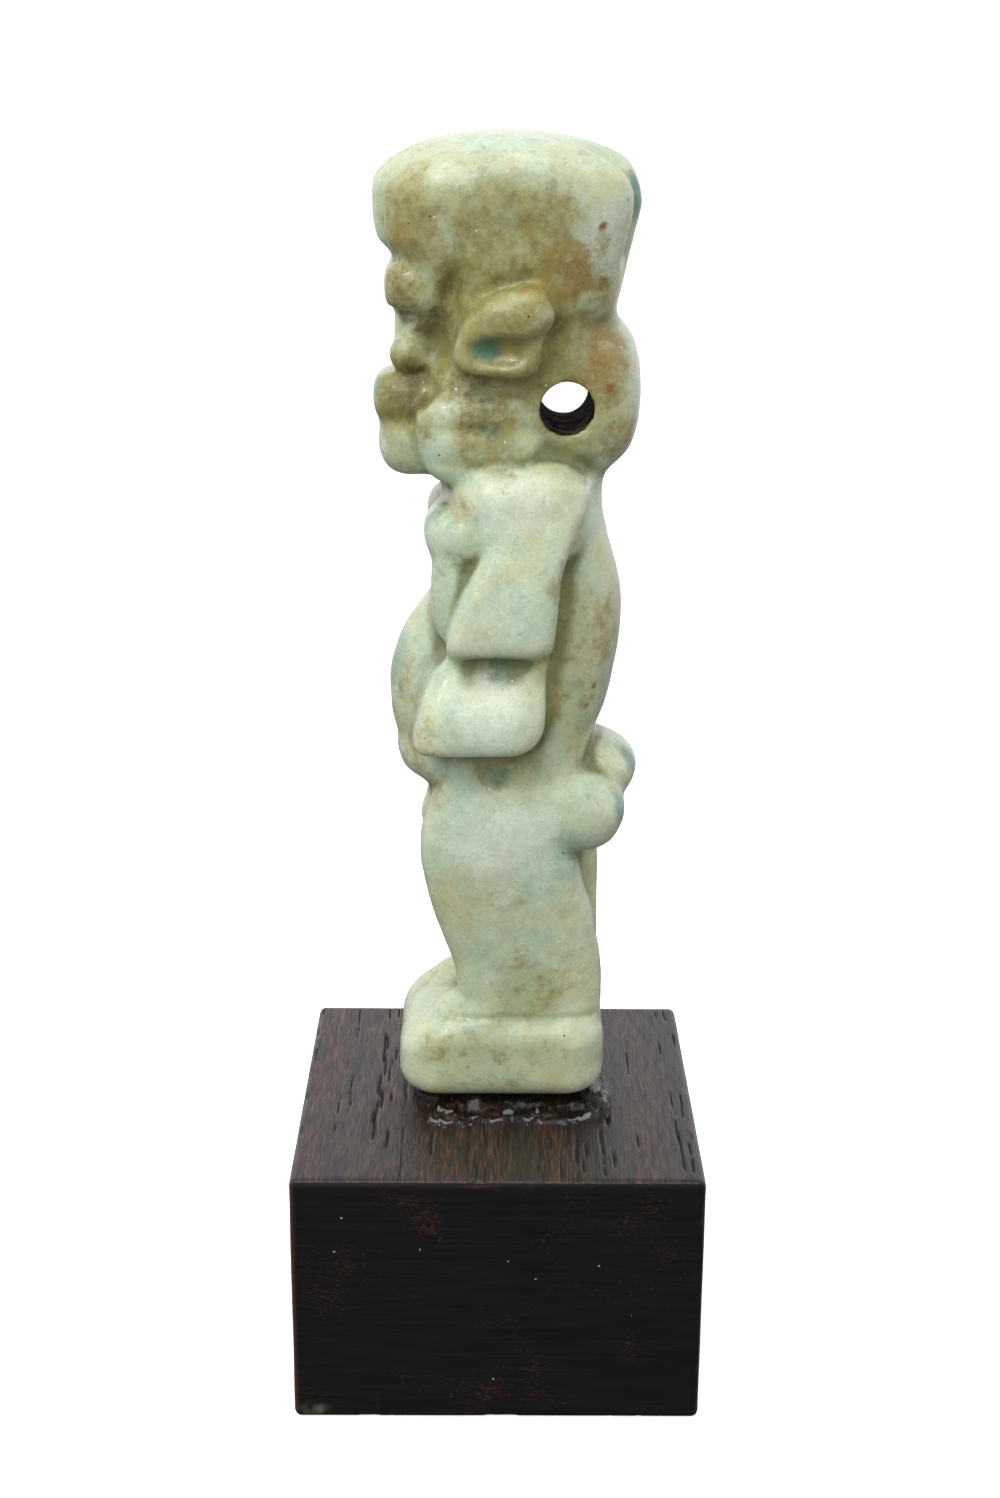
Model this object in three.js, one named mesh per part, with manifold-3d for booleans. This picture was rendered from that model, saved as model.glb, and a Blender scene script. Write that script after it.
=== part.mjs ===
// A small moulded faience amulet of a maned dwarf god standing on its own thick plinth, glued to a dark
// wooden block. The figure faces -Y, +Z is up, and the origin is the middle of the block's underside.
// Everything is in millimetres.

import * as THREE from "three";
import { RoundedBoxGeometry } from "three/addons/geometries/RoundedBoxGeometry.js";
import { mergeVertices } from "three/addons/utils/BufferGeometryUtils.js";
import Module from "manifold-3d";

// Driving dimensions
const BLOCK = { side: 19, height: 12.5, edgeRadius: 0.3, edgeSteps: 2 };
const GLUE = { thickness: 0.5, overhang: 0.75, wave: 0.28, waves: 9, nearBulge: 0.6 };
const GLUE_OUTLINE = { points: 72, squareness: 5 };
const AMULET_HEIGHT = 45;
const AMULET_SETBACK = -1.45; // the figure stands towards the block's far side
const BORE = { radius: 1.18, y: 2.9, z: 33.3, length: 20, sides: 28 };

// The plinth under the feet, carved in one with the figure; its top falls away towards the toes
const PLINTH = { front: -4.75, back: 5.12, halfWidth: 4.15, height: 4.2, corner: 1.9, round: 1.25 };
const TOE_FALL = { from: -2.4, slope: 0.38 };

// Lofted masses: at each level z, the front and back faces, the middle and the half-width from side to side.
// An exponent over 2 squares the section.
const LOFTS = {
  leg: {
    mirrored: true, exponent: 2.8, blend: 0.25, capRound: 0.9,
    rows: [
      { z: 3.4, front: -1.9, back: 4.9, mid: 2.1, half: 1.65 },
      { z: 6.4, front: -2.1, back: 4.95, mid: 2.1, half: 1.6 },
      { z: 9, front: -2.95, back: 4.55, mid: 2.2, half: 1.8 },
      { z: 11, front: -3.45, back: 3.95, mid: 2.3, half: 2 },
      { z: 12.6, front: -3.65, back: 3.75, mid: 2.35, half: 2.12 },
      { z: 14.4, front: -3.4, back: 4.4, mid: 2.3, half: 2.15 },
      { z: 16.2, front: -2.6, back: 4.2, mid: 2.1, half: 2 },
    ],
  },
  torso: {
    mirrored: false, exponent: 3, blend: 0.5, capRound: 0.8,
    rows: [
      { z: 13.6, front: -2.9, back: 4.3, mid: 0, half: 4.2 },
      { z: 17.6, front: -3.4, back: 4.4, mid: 0, half: 4.2 },
      { z: 20.3, front: -3.5, back: 5.2, mid: 0, half: 4.2 },
      { z: 24.2, front: -3.05, back: 5.6, mid: 0, half: 4.1 },
      { z: 27.2, front: -2.95, back: 4.95, mid: 0, half: 4.1 },
      { z: 30.4, front: -2.3, back: 4.35, mid: 0, half: 3.6 },
    ],
  },
  arm: {
    mirrored: true, exponent: 5, blend: 0.16, capRound: 0.35,
    rows: [
      { z: 18.05, front: -3.85, back: 1.1, mid: 4.3, half: 1.75 },
      { z: 18.6, front: -3.95, back: 1.75, mid: 4.4, half: 1.85 },
      { z: 19.6, front: -3.72, back: 2.05, mid: 4.38, half: 1.83 },
      { z: 20.6, front: -3.4, back: 2.12, mid: 4.22, half: 1.67 },
      { z: 21.4, front: -3.05, back: 2.12, mid: 4, half: 1.44 },
      { z: 22, front: -2.6, back: 2.18, mid: 3.9, half: 1.34 },
      { z: 22.4, front: -2.4, back: 2.24, mid: 3.92, half: 1.36 },
      { z: 22.85, front: -2.4, back: 2.37, mid: 4.26, half: 1.74 },
      { z: 23.8, front: -2.25, back: 2.52, mid: 4.32, half: 1.8 },
      { z: 24.9, front: -1.87, back: 2.62, mid: 4.3, half: 1.75 },
      { z: 26.15, front: -1.32, back: 2.78, mid: 4.2, half: 1.7 },
      { z: 27.2, front: -0.8, back: 3.05, mid: 4.05, half: 1.65 },
      { z: 28.7, front: -0.6, back: 3.6, mid: 3.7, half: 1.5 },
      { z: 30, front: -0.4, back: 4, mid: 3.3, half: 1.2 },
    ],
  },
  head: {
    mirrored: false, exponent: 2.6, blend: 0.6, capRound: 0.9,
    rows: [
      { z: 28.4, front: -2.2, back: 4.3, mid: 0, half: 3 },
      { z: 31, front: -3.2, back: 4.9, mid: 0, half: 3.4 },
      { z: 34, front: -3.5, back: 5, mid: 0, half: 3.6 },
      { z: 37.2, front: -4, back: 5, mid: 0, half: 4.05 },
      { z: 40, front: -4.45, back: 5.3, mid: 0, half: 4.45 },
    ],
  },
  crown: {
    mirrored: false, exponent: 4.2, blend: 0.8, capRound: 0.3,
    rows: [
      { z: 37.6, front: -4.3, back: 4.85, mid: 0, half: 4 },
      { z: 39.3, front: -4.6, back: 5.45, mid: 0, half: 4.45 },
      { z: 39.9, front: -4.95, back: 5.65, mid: 0, half: 4.6 },
      { z: 40.6, front: -5.7, back: 5.9, mid: 0, half: 4.8 },
      { z: 42.3, front: -6, back: 6.25, mid: 0, half: 5.1 },
      { z: 45.6, front: -6, back: 5.1, mid: 0, half: 5.1 },
    ],
  },
};
// The crown's top is one low dome
const DOME = { z: 42.3, middle: 0.4, depth: 6.25, halfWidth: 5.6, exponent: 2.4, scale: 2.8, edge: 0.6 };

// Rounded masses: centre and half-sizes, added in order; blend is the width of the soft joint, and tilt leans
// the mass about X, in degrees. A mass off the middle plane is mirrored to the other side.
const LUMPS = {
  belly: { at: [0, -0.9, 19.7], size: [3.7, 4.25, 5.35], blend: 0.8 },
  bellyFold: { at: [0, -2.5, 16.8], size: [3.2, 2.3, 1.6], blend: 0.5 },
  shoulder: { at: [2.9, 0.85, 28.7], size: [2.55, 3.15, 2.5], blend: 0.45, exponent: 2.6 },
  flank: { at: [3, -1.9, 25.3], size: [1.9, 1.2, 2.5], blend: 0.35, exponent: 3 },
  breast: { at: [2.5, -1.05, 27.75], size: [2.7, 2.42, 1.5], blend: 0.45, exponent: 2.6 },
  foot: { at: [2.1, -1.1, 3.75], size: [1.65, 2.2, 1.3], blend: 0.5 },
  loincloth: { at: [0, -2.3, 13.4], size: [0.9, 1.4, 1.6], blend: 0.6 },
  buttock: { at: [2.1, 3.3, 14.7], size: [2.3, 2.65, 2], blend: 0.45, exponent: 2.4, tilt: -25 },
  tailRoot: { at: [0, 4.7, 16], size: [2.4, 1.8, 1.55], blend: 0.3, exponent: 2.6, tilt: -30 },
  tail: { at: [0, 3.5, 9], size: [1.05, 1.3, 8.2], blend: 0.4 },
  maneLobe: { at: [2.4, -1, 32.3], size: [2.1, 2.8, 2.4], blend: 0.6, exponent: 3, tilt: 8 },
  maneBack: { at: [0, 3.87, 33.68], size: [3.3, 2.4, 3.5], blend: 0.6, exponent: 2.6 },
  brow: { at: [0, -3.6, 38.48], size: [3.95, 1.58, 1.22], blend: 0.3, exponent: 3.6 },
  cheek: { at: [1.9, -1.7, 35.1], size: [1.7, 1.35, 2], blend: 0.6 },
  noseBridge: { at: [0, -3.95, 36.5], size: [1.75, 0.85, 1.3], blend: 0.35, exponent: 3 },
  noseWing: { at: [1.7, -4.08, 35.5], size: [0.98, 0.88, 0.92], blend: 0.1 },
  muzzle: { at: [0, -3.95, 33.5], size: [2.5, 1.8, 1.25], blend: 0.25, exponent: 3.2 },
  beard: { at: [0, -3.75, 31.5], size: [2.6, 1.78, 1.65], blend: 0.5, exponent: 2.6 },
  eye: { at: [1.75, -3.7, 36.75], size: [0.85, 0.6, 0.4], blend: 0.15 },
  earBase: { at: [4.1, -0.15, 36.2], size: [1.55, 1.98, 1.38], blend: 0.25, exponent: 3.8, tilt: -7 },
  earRim: { at: [4.62, 0.5, 37.42], size: [1.42, 1.8, 1.15], blend: 0.2, exponent: 3.2, tilt: 19 },
};

// Rounded hollows: centre and half-sizes, cut in order and mirrored as the masses are
const HOLLOWS = {
  earHollow: { at: [6.45, -0.15, 35.95], size: [1.4, 1.95, 0.85], blend: 0.25, tilt: 2 },
  temple: { at: [4.9, -2.3, 37.9], size: [1.55, 0.6, 1.7], blend: 0.6, tilt: -10 },
  eyeSocket: { at: [2.6, -4.6, 37.1], size: [1.5, 0.8, 0.45], blend: 0.3 },
  cheekHollow: { at: [3.7, -2.95, 35.9], size: [1.6, 0.75, 1.3], blend: 0.4 },
  mouthCorner: { at: [3.3, -3.45, 34.2], size: [0.9, 0.6, 0.9], blend: 0.4 },
  navel: { at: [0, -5.35, 19.4], size: [0.45, 0.6, 0.5], blend: 0.2 },
  legGap: { at: [0, -4, 8.5], size: [0.75, 3.2, 3.9], blend: 0.4, exponent: 3 },
  tailSide: { at: [1.25, 5, 8.4], size: [0.4, 1.6, 4.4], blend: 0.3 },
};

// Shallow grooves that divide the crown's plumes, front and back, and the mane's rolls
const PLUMES = { count: 5, pitch: 1.75, cut: 0.28, width: 0.36 };
const PLUME_FADE = { lowest: 39.6, height: 0.5, inner: 2.6, outer: 5.2 };
const MANE_ROLLS = [
  { level: 34, cut: 0.16, height: 0.3 },
  { level: 32.45, cut: 0.14, height: 0.28 },
  { level: 31, cut: 0.1, height: 0.25 },
];
const MANE_SIDE = { inner: 2, outer: 2.8, front: -3, back: 1.6, fade: 0.4 };

// How the skin of the solid is spread: rows from the lower pole to the upper one, columns round the axis
const SKIN = { columns: 58, floorRows: 6, domeRows: 8, floorZ: 1.3, axisY: 0.25, reach: 13, frontPull: 0.25 };
// Rows of the skin that lie between one level and the next, closer where the carving is finer
const BANDS = [
  { top: 3.4, rows: 3 },
  { top: 6.6, rows: 6 },
  { top: 12, rows: 7 },
  { top: 18.2, rows: 11 },
  { top: 23.6, rows: 9 },
  { top: 29, rows: 8 },
  { top: 38.6, rows: 18 },
  { top: 42.3, rows: 5 },
];
const BODY_ROWS = BANDS.reduce((sum, band) => sum + band.rows, 0);

// How the skin is evened out: rounds in each spell, pull towards the neighbours, steps back to the surface
const RELAX = { spells: [8, 3], pull: 0.5, settles: 2, leastSlope: 0.2, longest: 0.4, feel: 0.02 };
// How the skin's edges are turned after each spell: passes, and the share of the old miss a turn must beat
const TURN = { passes: 3, gain: 0.8 };
// How finely the surface is sought along a ray, and the smallest slope and gap that count
const SEEK = { step: 0.1, halvings: 18 };
const FLATTEST = 1e-12;
const WELD = 1e-4;

// Smallest of two distances with a soft joint of the given width
function joined(a, b, width) {
  const h = Math.max(width - Math.abs(a - b), 0) / width;
  return Math.min(a, b) - (h * h * width) / 4;
}

// Distance with a shape removed, with a soft edge of the given width
function carved(a, b, width) {
  return -joined(-a, b, width);
}

// Distance to a rounded mass, an ellipsoid unless the exponent squares it
function massDistance(x, y, z, { at, size, exponent = 2, tilt = 0 }) {
  const cos = Math.cos(THREE.MathUtils.degToRad(tilt));
  const sin = Math.sin(THREE.MathUtils.degToRad(tilt));
  const across = Math.abs(x - at[0]) / size[0];
  const along = Math.abs(cos * (y - at[1]) + sin * (z - at[2])) / size[1];
  const up = Math.abs(cos * (z - at[2]) - sin * (y - at[1])) / size[2];
  const near = (across ** exponent + along ** exponent + up ** exponent) ** (1 / exponent);
  const power = exponent - 1;
  const slope = Math.hypot(across ** power / size[0], along ** power / size[1], up ** power / size[2]);
  return ((near - 1) * near ** power) / Math.max(slope, FLATTEST);
}

// Value of a named column of a loft at level z, smooth between the rows
function rowValue(rows, key, z) {
  if (z <= rows[0].z) return rows[0][key];
  const last = rows.length - 1;
  if (z >= rows[last].z) return rows[last][key];
  const i = rows.findIndex((row) => row.z > z) - 1;
  const slope = (k) => {
    const low = rows[Math.max(k - 1, 0)];
    const high = rows[Math.min(k + 1, last)];
    return (high[key] - low[key]) / (high.z - low.z);
  };
  const span = rows[i + 1].z - rows[i].z;
  const t = (z - rows[i].z) / span;
  const ease = t * t * (3 - 2 * t);
  const rise = t * (1 - t) * span * ((1 - t) * slope(i) - t * slope(i + 1));
  return rows[i][key] + (rows[i + 1][key] - rows[i][key]) * ease + rise;
}

// Distance to a lofted mass
function loftDistance(x, y, z, { rows, exponent, capRound }) {
  const front = rowValue(rows, "front", z);
  const back = rowValue(rows, "back", z);
  const half = rowValue(rows, "half", z);
  const depth = (back - front) / 2;
  const across = Math.abs(x - rowValue(rows, "mid", z)) / half;
  const along = Math.abs(y - (front + back) / 2) / depth;
  const near = (across ** exponent + along ** exponent) ** (1 / exponent);
  const power = exponent - 1;
  const slope = Math.max(Math.hypot(across ** power / half, along ** power / depth), FLATTEST);
  const side = Math.max(((near - 1) * near ** power) / slope, -Math.min(half, depth));
  const ends = Math.max(z - rows[rows.length - 1].z, rows[0].z - z);
  return -joined(-side, -ends, capRound);
}

// Distance outside a corner rounded by the given radius, from the distances past its two sides
function cornerDistance(a, b, radius) {
  const outside = Math.hypot(Math.max(a + radius, 0), Math.max(b + radius, 0));
  return outside + Math.min(Math.max(a + radius, b + radius), 0) - radius;
}

// Distance to the plinth, a pillow-like block with well rounded corners and edges
function plinthDistance(x, y, z) {
  const { front, back, halfWidth, height, corner, round } = PLINTH;
  const across = Math.abs(x) - halfWidth;
  const along = Math.abs(y - (front + back) / 2) - (back - front) / 2;
  const top = height - TOE_FALL.slope * Math.max(TOE_FALL.from - y, 0);
  const up = Math.abs(z - top / 2) - top / 2;
  return cornerDistance(cornerDistance(across, along, corner), up, round);
}

// Distance to the crown, its sides lofted and its top domed
function crownDistance(x, y, z) {
  const rise = Math.max(z - DOME.z, 0) / (AMULET_HEIGHT - DOME.z);
  const round = Math.hypot((y - DOME.middle) / DOME.depth, rise);
  const across = Math.abs(x) / DOME.halfWidth;
  const near = (round ** DOME.exponent + across ** DOME.exponent) ** (1 / DOME.exponent);
  return -joined(-loftDistance(x, y, z, LOFTS.crown), (1 - near) * DOME.scale, DOME.edge);
}

// Depth of the grooves between the plumes on the crown's front and back, fading towards its middle
function plumeGroove(x, y, z) {
  const { count, pitch, cut, width } = PLUMES;
  const { lowest, height, inner, outer } = PLUME_FADE;
  const low = THREE.MathUtils.smoothstep(z, lowest - height, lowest + height);
  const away = THREE.MathUtils.smoothstep(Math.abs(y), inner, outer);
  let depth = 0;
  for (let i = 1; i < count; i += 1) {
    depth = Math.max(depth, Math.exp(-(((x - (i - count / 2) * pitch) / width) ** 2)));
  }
  return cut * low * away * depth;
}

// Depth of the grooves between the mane's rolls, on the sides of the mane only
function maneGroove(x, y, z) {
  const { inner, outer, front, back, fade } = MANE_SIDE;
  const aside = THREE.MathUtils.smoothstep(Math.abs(x), inner, outer);
  const behindFace = THREE.MathUtils.smoothstep(y, front - fade, front + fade);
  const beforeBack = 1 - THREE.MathUtils.smoothstep(y, back - fade, back + fade);
  const depths = MANE_ROLLS.map(({ level, cut, height }) => cut * Math.exp(-(((z - level) / height) ** 2)));
  return aside * behindFace * beforeBack * Math.max(...depths);
}

// Signed distance to the figure's surface, below zero inside
function figureDistance(x, y, z) {
  const side = Math.abs(x);
  let distance = plinthDistance(x, y, z);
  for (const [name, loft] of Object.entries(LOFTS)) {
    const across = loft.mirrored ? side : x;
    const added = name === "crown" ? crownDistance(x, y, z) : loftDistance(across, y, z, loft);
    distance = joined(distance, added, loft.blend);
  }
  for (const lump of Object.values(LUMPS)) {
    distance = joined(distance, massDistance(side, y, z, lump), lump.blend);
  }
  for (const hollow of Object.values(HOLLOWS)) {
    distance = carved(distance, massDistance(side, y, z, hollow), hollow.blend);
  }
  distance += plumeGroove(x, y, z) + maneGroove(x, y, z);
  return Math.max(distance, -z);
}

// Level of a row of the skin's body
function bandLevel(row) {
  let low = SKIN.floorZ;
  let left = row;
  for (const band of BANDS) {
    if (left <= band.rows) return THREE.MathUtils.lerp(low, band.top, left / band.rows);
    left -= band.rows;
    low = band.top;
  }
  return low;
}

// Where a ray of the skin starts on the axis and how it climbs, for a row counted from the lower pole
function skinRay(row) {
  const quarter = Math.PI / 2;
  const body = row - SKIN.floorRows;
  if (body <= 0) return { z: SKIN.floorZ, climb: -quarter * (1 - row / SKIN.floorRows) ** 2 };
  if (body >= BODY_ROWS) return { z: DOME.z, climb: (quarter * (body - BODY_ROWS)) / SKIN.domeRows };
  return { z: bandLevel(body), climb: 0 };
}

// Distance along a ray from the axis to the outermost crossing of the surface
function skinReach(origin, direction) {
  const inside = (t) => {
    const p = direction.clone().multiplyScalar(t).add(origin);
    return figureDistance(p.x, p.y, p.z) < 0;
  };
  let high = SKIN.reach;
  while (high > SEEK.step && !inside(high - SEEK.step)) high -= SEEK.step;
  let low = Math.max(high - SEEK.step, 0);
  for (let i = 0; i < SEEK.halvings; i += 1) {
    const middle = (low + high) / 2;
    if (inside(middle)) low = middle;
    else high = middle;
  }
  return low;
}

// A sphere's net of points, drawn in along its rays onto the figure
function wrappedNet() {
  const rows = SKIN.floorRows + BODY_ROWS + SKIN.domeRows;
  const net = new THREE.SphereGeometry(1, SKIN.columns, rows).rotateX(Math.PI / 2);
  const points = net.getAttribute("position");
  const vertex = new THREE.Vector3();
  for (let i = 0; i < points.count; i += 1) {
    vertex.fromBufferAttribute(points, i);
    const share = 1 - Math.acos(THREE.MathUtils.clamp(vertex.z, -1, 1)) / Math.PI;
    const { z, climb } = skinRay(Math.round(share * rows));
    const even = Math.atan2(vertex.y, vertex.x);
    const turn = even - SKIN.frontPull * Math.cos(even);
    const flat = Math.cos(climb);
    const direction = new THREE.Vector3(Math.cos(turn) * flat, Math.sin(turn) * flat, Math.sin(climb));
    const origin = new THREE.Vector3(0, SKIN.axisY, z);
    vertex.copy(direction).multiplyScalar(skinReach(origin, direction)).add(origin);
    points.setXYZ(i, vertex.x, vertex.y, vertex.z);
  }
  net.deleteAttribute("normal");
  net.deleteAttribute("uv");
  return mergeVertices(net, WELD);
}

// The points that share an edge with each point of a net
function neighboursOf(net) {
  const found = Array.from({ length: net.getAttribute("position").count }, () => new Set());
  const corners = net.index.array;
  for (let i = 0; i < corners.length; i += 3) {
    for (let k = 0; k < 3; k += 1) {
      found[corners[i + k]].add(corners[i + ((k + 1) % 3)]);
      found[corners[i + k]].add(corners[i + ((k + 2) % 3)]);
    }
  }
  return found;
}

// A point moved onto the surface along the distance's own slope
function settled(point) {
  const e = RELAX.feel;
  for (let i = 0; i < RELAX.settles; i += 1) {
    const { x, y, z } = point;
    const slope = new THREE.Vector3(
      figureDistance(x + e, y, z) - figureDistance(x - e, y, z),
      figureDistance(x, y + e, z) - figureDistance(x, y - e, z),
      figureDistance(x, y, z + e) - figureDistance(x, y, z - e),
    ).divideScalar(2 * e);
    const steep = Math.max(slope.lengthSq(), RELAX.leastSlope);
    const step = THREE.MathUtils.clamp(figureDistance(x, y, z) / steep, -RELAX.longest, RELAX.longest);
    point.addScaledVector(slope, -step);
  }
  return point;
}

// One round of evening: each point drawn towards its neighbours and settled on the surface again
function evenOut(net) {
  const points = net.getAttribute("position");
  const at = (i) => new THREE.Vector3().fromBufferAttribute(points, i);
  const moved = neighboursOf(net).map((near, i) => {
    const middle = new THREE.Vector3();
    for (const k of near) middle.add(at(k));
    return settled(at(i).lerp(middle.divideScalar(near.size), RELAX.pull));
  });
  moved.forEach((point, i) => points.setXYZ(i, point.x, point.y, Math.max(point.z, 0)));
}

// The two triangles at each edge of a net, each with the edge's ends and its far corner
function edgesOf(corners) {
  const edges = new Map();
  for (let i = 0; i < corners.length; i += 1) {
    const triangle = i - (i % 3);
    const from = corners[i];
    const to = corners[triangle + ((i + 1) % 3)];
    const far = corners[triangle + ((i + 2) % 3)];
    const key = [Math.min(from, to), Math.max(from, to)].join();
    edges.set(key, [...(edges.get(key) ?? []), { triangle, from, to, far }]);
  }
  return edges;
}

// One pass over the edges, each turned to its other diagonal where that lies closer to the surface
function turnEdges(net) {
  const corners = net.index.array;
  const points = net.getAttribute("position");
  const neighbours = neighboursOf(net);
  const done = new Set();
  const at = (i) => new THREE.Vector3().fromBufferAttribute(points, i);
  const facing = (i, j, k) => new THREE.Triangle(at(i), at(j), at(k)).getNormal(new THREE.Vector3());
  const miss = (i, k) => {
    const middle = at(i).lerp(at(k), 0.5);
    return Math.abs(figureDistance(middle.x, middle.y, middle.z));
  };
  for (const [one, two] of edgesOf(corners).values()) {
    const { from, to, far: left } = one;
    const right = two.far;
    if (done.has(one.triangle) || done.has(two.triangle) || neighbours[left].has(right)) continue;
    if (miss(left, right) > TURN.gain * miss(from, to)) continue;
    const outward = facing(from, to, left).add(facing(to, from, right));
    const faces = [facing(from, right, left), facing(right, to, left)];
    if (faces.some((face) => face.dot(outward) <= 0)) continue;
    corners.set([from, right, left], one.triangle);
    corners.set([right, to, left], two.triangle);
    neighbours[left].add(right);
    neighbours[right].add(left);
    done.add(one.triangle).add(two.triangle);
  }
}

// The figure's skin: the wrapped net, evened out and with its edges laid along the carving
function figureGeometry() {
  const net = wrappedNet();
  for (const rounds of RELAX.spells) {
    for (let round = 0; round < rounds; round += 1) evenOut(net);
    for (let pass = 0; pass < TURN.passes; pass += 1) turnEdges(net);
  }
  return net;
}

const wasm = await Module();
wasm.setup();

// A closed geometry as a solid that can be cut
function solidOf(geometry) {
  const bare = geometry.clone();
  bare.deleteAttribute("normal");
  bare.deleteAttribute("uv");
  const merged = mergeVertices(bare, WELD);
  return new wasm.Manifold(
    new wasm.Mesh({
      numProp: 3,
      vertProperties: merged.getAttribute("position").array,
      triVerts: new Uint32Array(merged.index.array),
    }),
  );
}

// The geometry of a solid
function geometryOf(solid) {
  const mesh = solid.getMesh();
  const geometry = new THREE.BufferGeometry();
  geometry.setAttribute("position", new THREE.BufferAttribute(new Float32Array(mesh.vertProperties), 3));
  geometry.setIndex(new THREE.BufferAttribute(new Uint32Array(mesh.triVerts), 1));
  geometry.computeVertexNormals();
  return geometry;
}

// The figure with the hole for its cord bored through the mane, from side to side
function makeAmulet() {
  const bore = new THREE.CylinderGeometry(BORE.radius, BORE.radius, BORE.length, BORE.sides);
  bore.rotateZ(Math.PI / 2).translate(0, BORE.y, BORE.z);
  const geometry = geometryOf(solidOf(figureGeometry()).subtract(solidOf(bore)));
  const faience = new THREE.MeshStandardMaterial({ color: 0xb9c7ab, roughness: 0.5, metalness: 0 });
  const amulet = new THREE.Mesh(geometry, faience);
  amulet.name = "amulet";
  amulet.position.set(AMULET_SETBACK, 0, BLOCK.height + GLUE.thickness);
  return amulet;
}

// The flat cake of clear glue under the plinth, pressed out unevenly and most on the near side
function makeGlue() {
  const outline = new THREE.Shape();
  const halfDepth = (PLINTH.back - PLINTH.front) / 2 + GLUE.overhang;
  const halfWidth = PLINTH.halfWidth + GLUE.overhang;
  const { squareness } = GLUE_OUTLINE;
  const points = [];
  for (let i = 0; i < GLUE_OUTLINE.points; i += 1) {
    const turn = (i / GLUE_OUTLINE.points) * 2 * Math.PI;
    const c = Math.cos(turn);
    const s = Math.sin(turn);
    const square = (Math.abs(c) ** squareness + Math.abs(s) ** squareness) ** (-1 / squareness);
    const wave = GLUE.wave * Math.sin(GLUE.waves * turn + Math.sin(2 * turn));
    const ripple = wave + GLUE.nearBulge * Math.max(c, 0);
    points.push(new THREE.Vector2(c * (halfWidth * square + ripple), s * (halfDepth * square + ripple)));
  }
  outline.setFromPoints(points);
  const geometry = new THREE.ExtrudeGeometry(outline, { depth: GLUE.thickness, bevelEnabled: false });
  const clear = new THREE.MeshStandardMaterial({ color: 0xb8b4ac, roughness: 0.25, metalness: 0 });
  const glue = new THREE.Mesh(geometry, clear);
  glue.name = "glue";
  glue.position.set(AMULET_SETBACK, (PLINTH.front + PLINTH.back) / 2, BLOCK.height);
  return glue;
}

// The sawn block of dark wood, its edges eased
function makeBlock() {
  const { side, height, edgeSteps, edgeRadius } = BLOCK;
  const geometry = new RoundedBoxGeometry(side, side, height, edgeSteps, edgeRadius);
  const wood = new THREE.MeshStandardMaterial({ color: 0x2a1d18, roughness: 0.55, metalness: 0 });
  const block = new THREE.Mesh(geometry, wood);
  block.name = "wood_block";
  block.position.z = height / 2;
  return block;
}

const part = new THREE.Group();
part.name = "faience_amulet";
part.add(makeBlock(), makeGlue(), makeAmulet());

export default part;
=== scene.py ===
"""Pale green faience amulet of a maned dwarf god, glued to a dark hardwood display block."""

import logging
from dataclasses import dataclass, field
from enum import Enum
from math import cos, radians, sin

import bpy
import numpy as np
from bpy.types import Material, Node, NodeSocket, NodeTree, Object
from mathutils import Matrix, Vector


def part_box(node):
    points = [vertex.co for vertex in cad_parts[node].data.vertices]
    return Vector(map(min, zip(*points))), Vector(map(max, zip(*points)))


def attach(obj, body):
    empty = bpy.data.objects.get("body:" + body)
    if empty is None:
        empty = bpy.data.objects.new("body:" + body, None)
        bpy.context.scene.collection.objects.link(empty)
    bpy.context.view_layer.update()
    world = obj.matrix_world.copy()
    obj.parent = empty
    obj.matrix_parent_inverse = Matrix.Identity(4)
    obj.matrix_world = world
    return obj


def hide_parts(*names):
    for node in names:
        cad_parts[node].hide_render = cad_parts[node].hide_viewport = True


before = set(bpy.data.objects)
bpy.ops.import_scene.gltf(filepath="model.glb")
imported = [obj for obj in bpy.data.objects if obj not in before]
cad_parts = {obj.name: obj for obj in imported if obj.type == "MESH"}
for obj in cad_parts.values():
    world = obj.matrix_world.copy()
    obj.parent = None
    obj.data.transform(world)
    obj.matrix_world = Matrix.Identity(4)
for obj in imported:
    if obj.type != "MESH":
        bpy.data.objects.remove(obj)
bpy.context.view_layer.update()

LOG = logging.getLogger("amulet")
MM = 0.001
# Smallest length or slope that something is divided by.
FLATTEST = 1e-12
# Whole numbers that scramble a grid cell into a chance value, in the same way on every run.
WAVE_PRIMES, SEED_PRIME = np.array((73856093, 19349663, 83492791)), 961748927
SCRAMBLE, CHANCE_TOP = ((13, 1274126177), (15, 2246822519)), 0x7FFFFFFF
# Where nearly all values of a noise pattern lie.
NOISE_SPAN = {"From Min": 0.3, "From Max": 0.7}
Array = np.ndarray
Pair = tuple[float, float]
Point = tuple[float, float, float]
Rows = tuple[tuple[float, ...], ...]
Places = tuple[Array, Array, Array]


def linear(colour: str) -> tuple[float, float, float, float]:
    """Turn an sRGB hex colour into the linear values that shaders use, with a full alpha."""
    parts = [int(colour[i:i + 2], 16) / 255 for i in (1, 3, 5)]
    return (*(p / 12.92 if p <= 0.04045 else ((p + 0.055) / 1.055) ** 2.4 for p in parts), 1.0)


def eased(value: Array, low: float, high: float) -> Array:
    """Rise smoothly from 0 where the value is low to 1 where it is high."""
    part = np.clip((value - low) / (high - low), 0, 1)
    return part * part * (3 - 2 * part)


def joined(a: Array, b: Array, width: float) -> Array:
    """Join the distances to two forms with a soft seam of this width in millimetres."""
    near = np.maximum(width - np.abs(a - b), 0) / width
    return np.minimum(a, b) - near * near * width / 4


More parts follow.
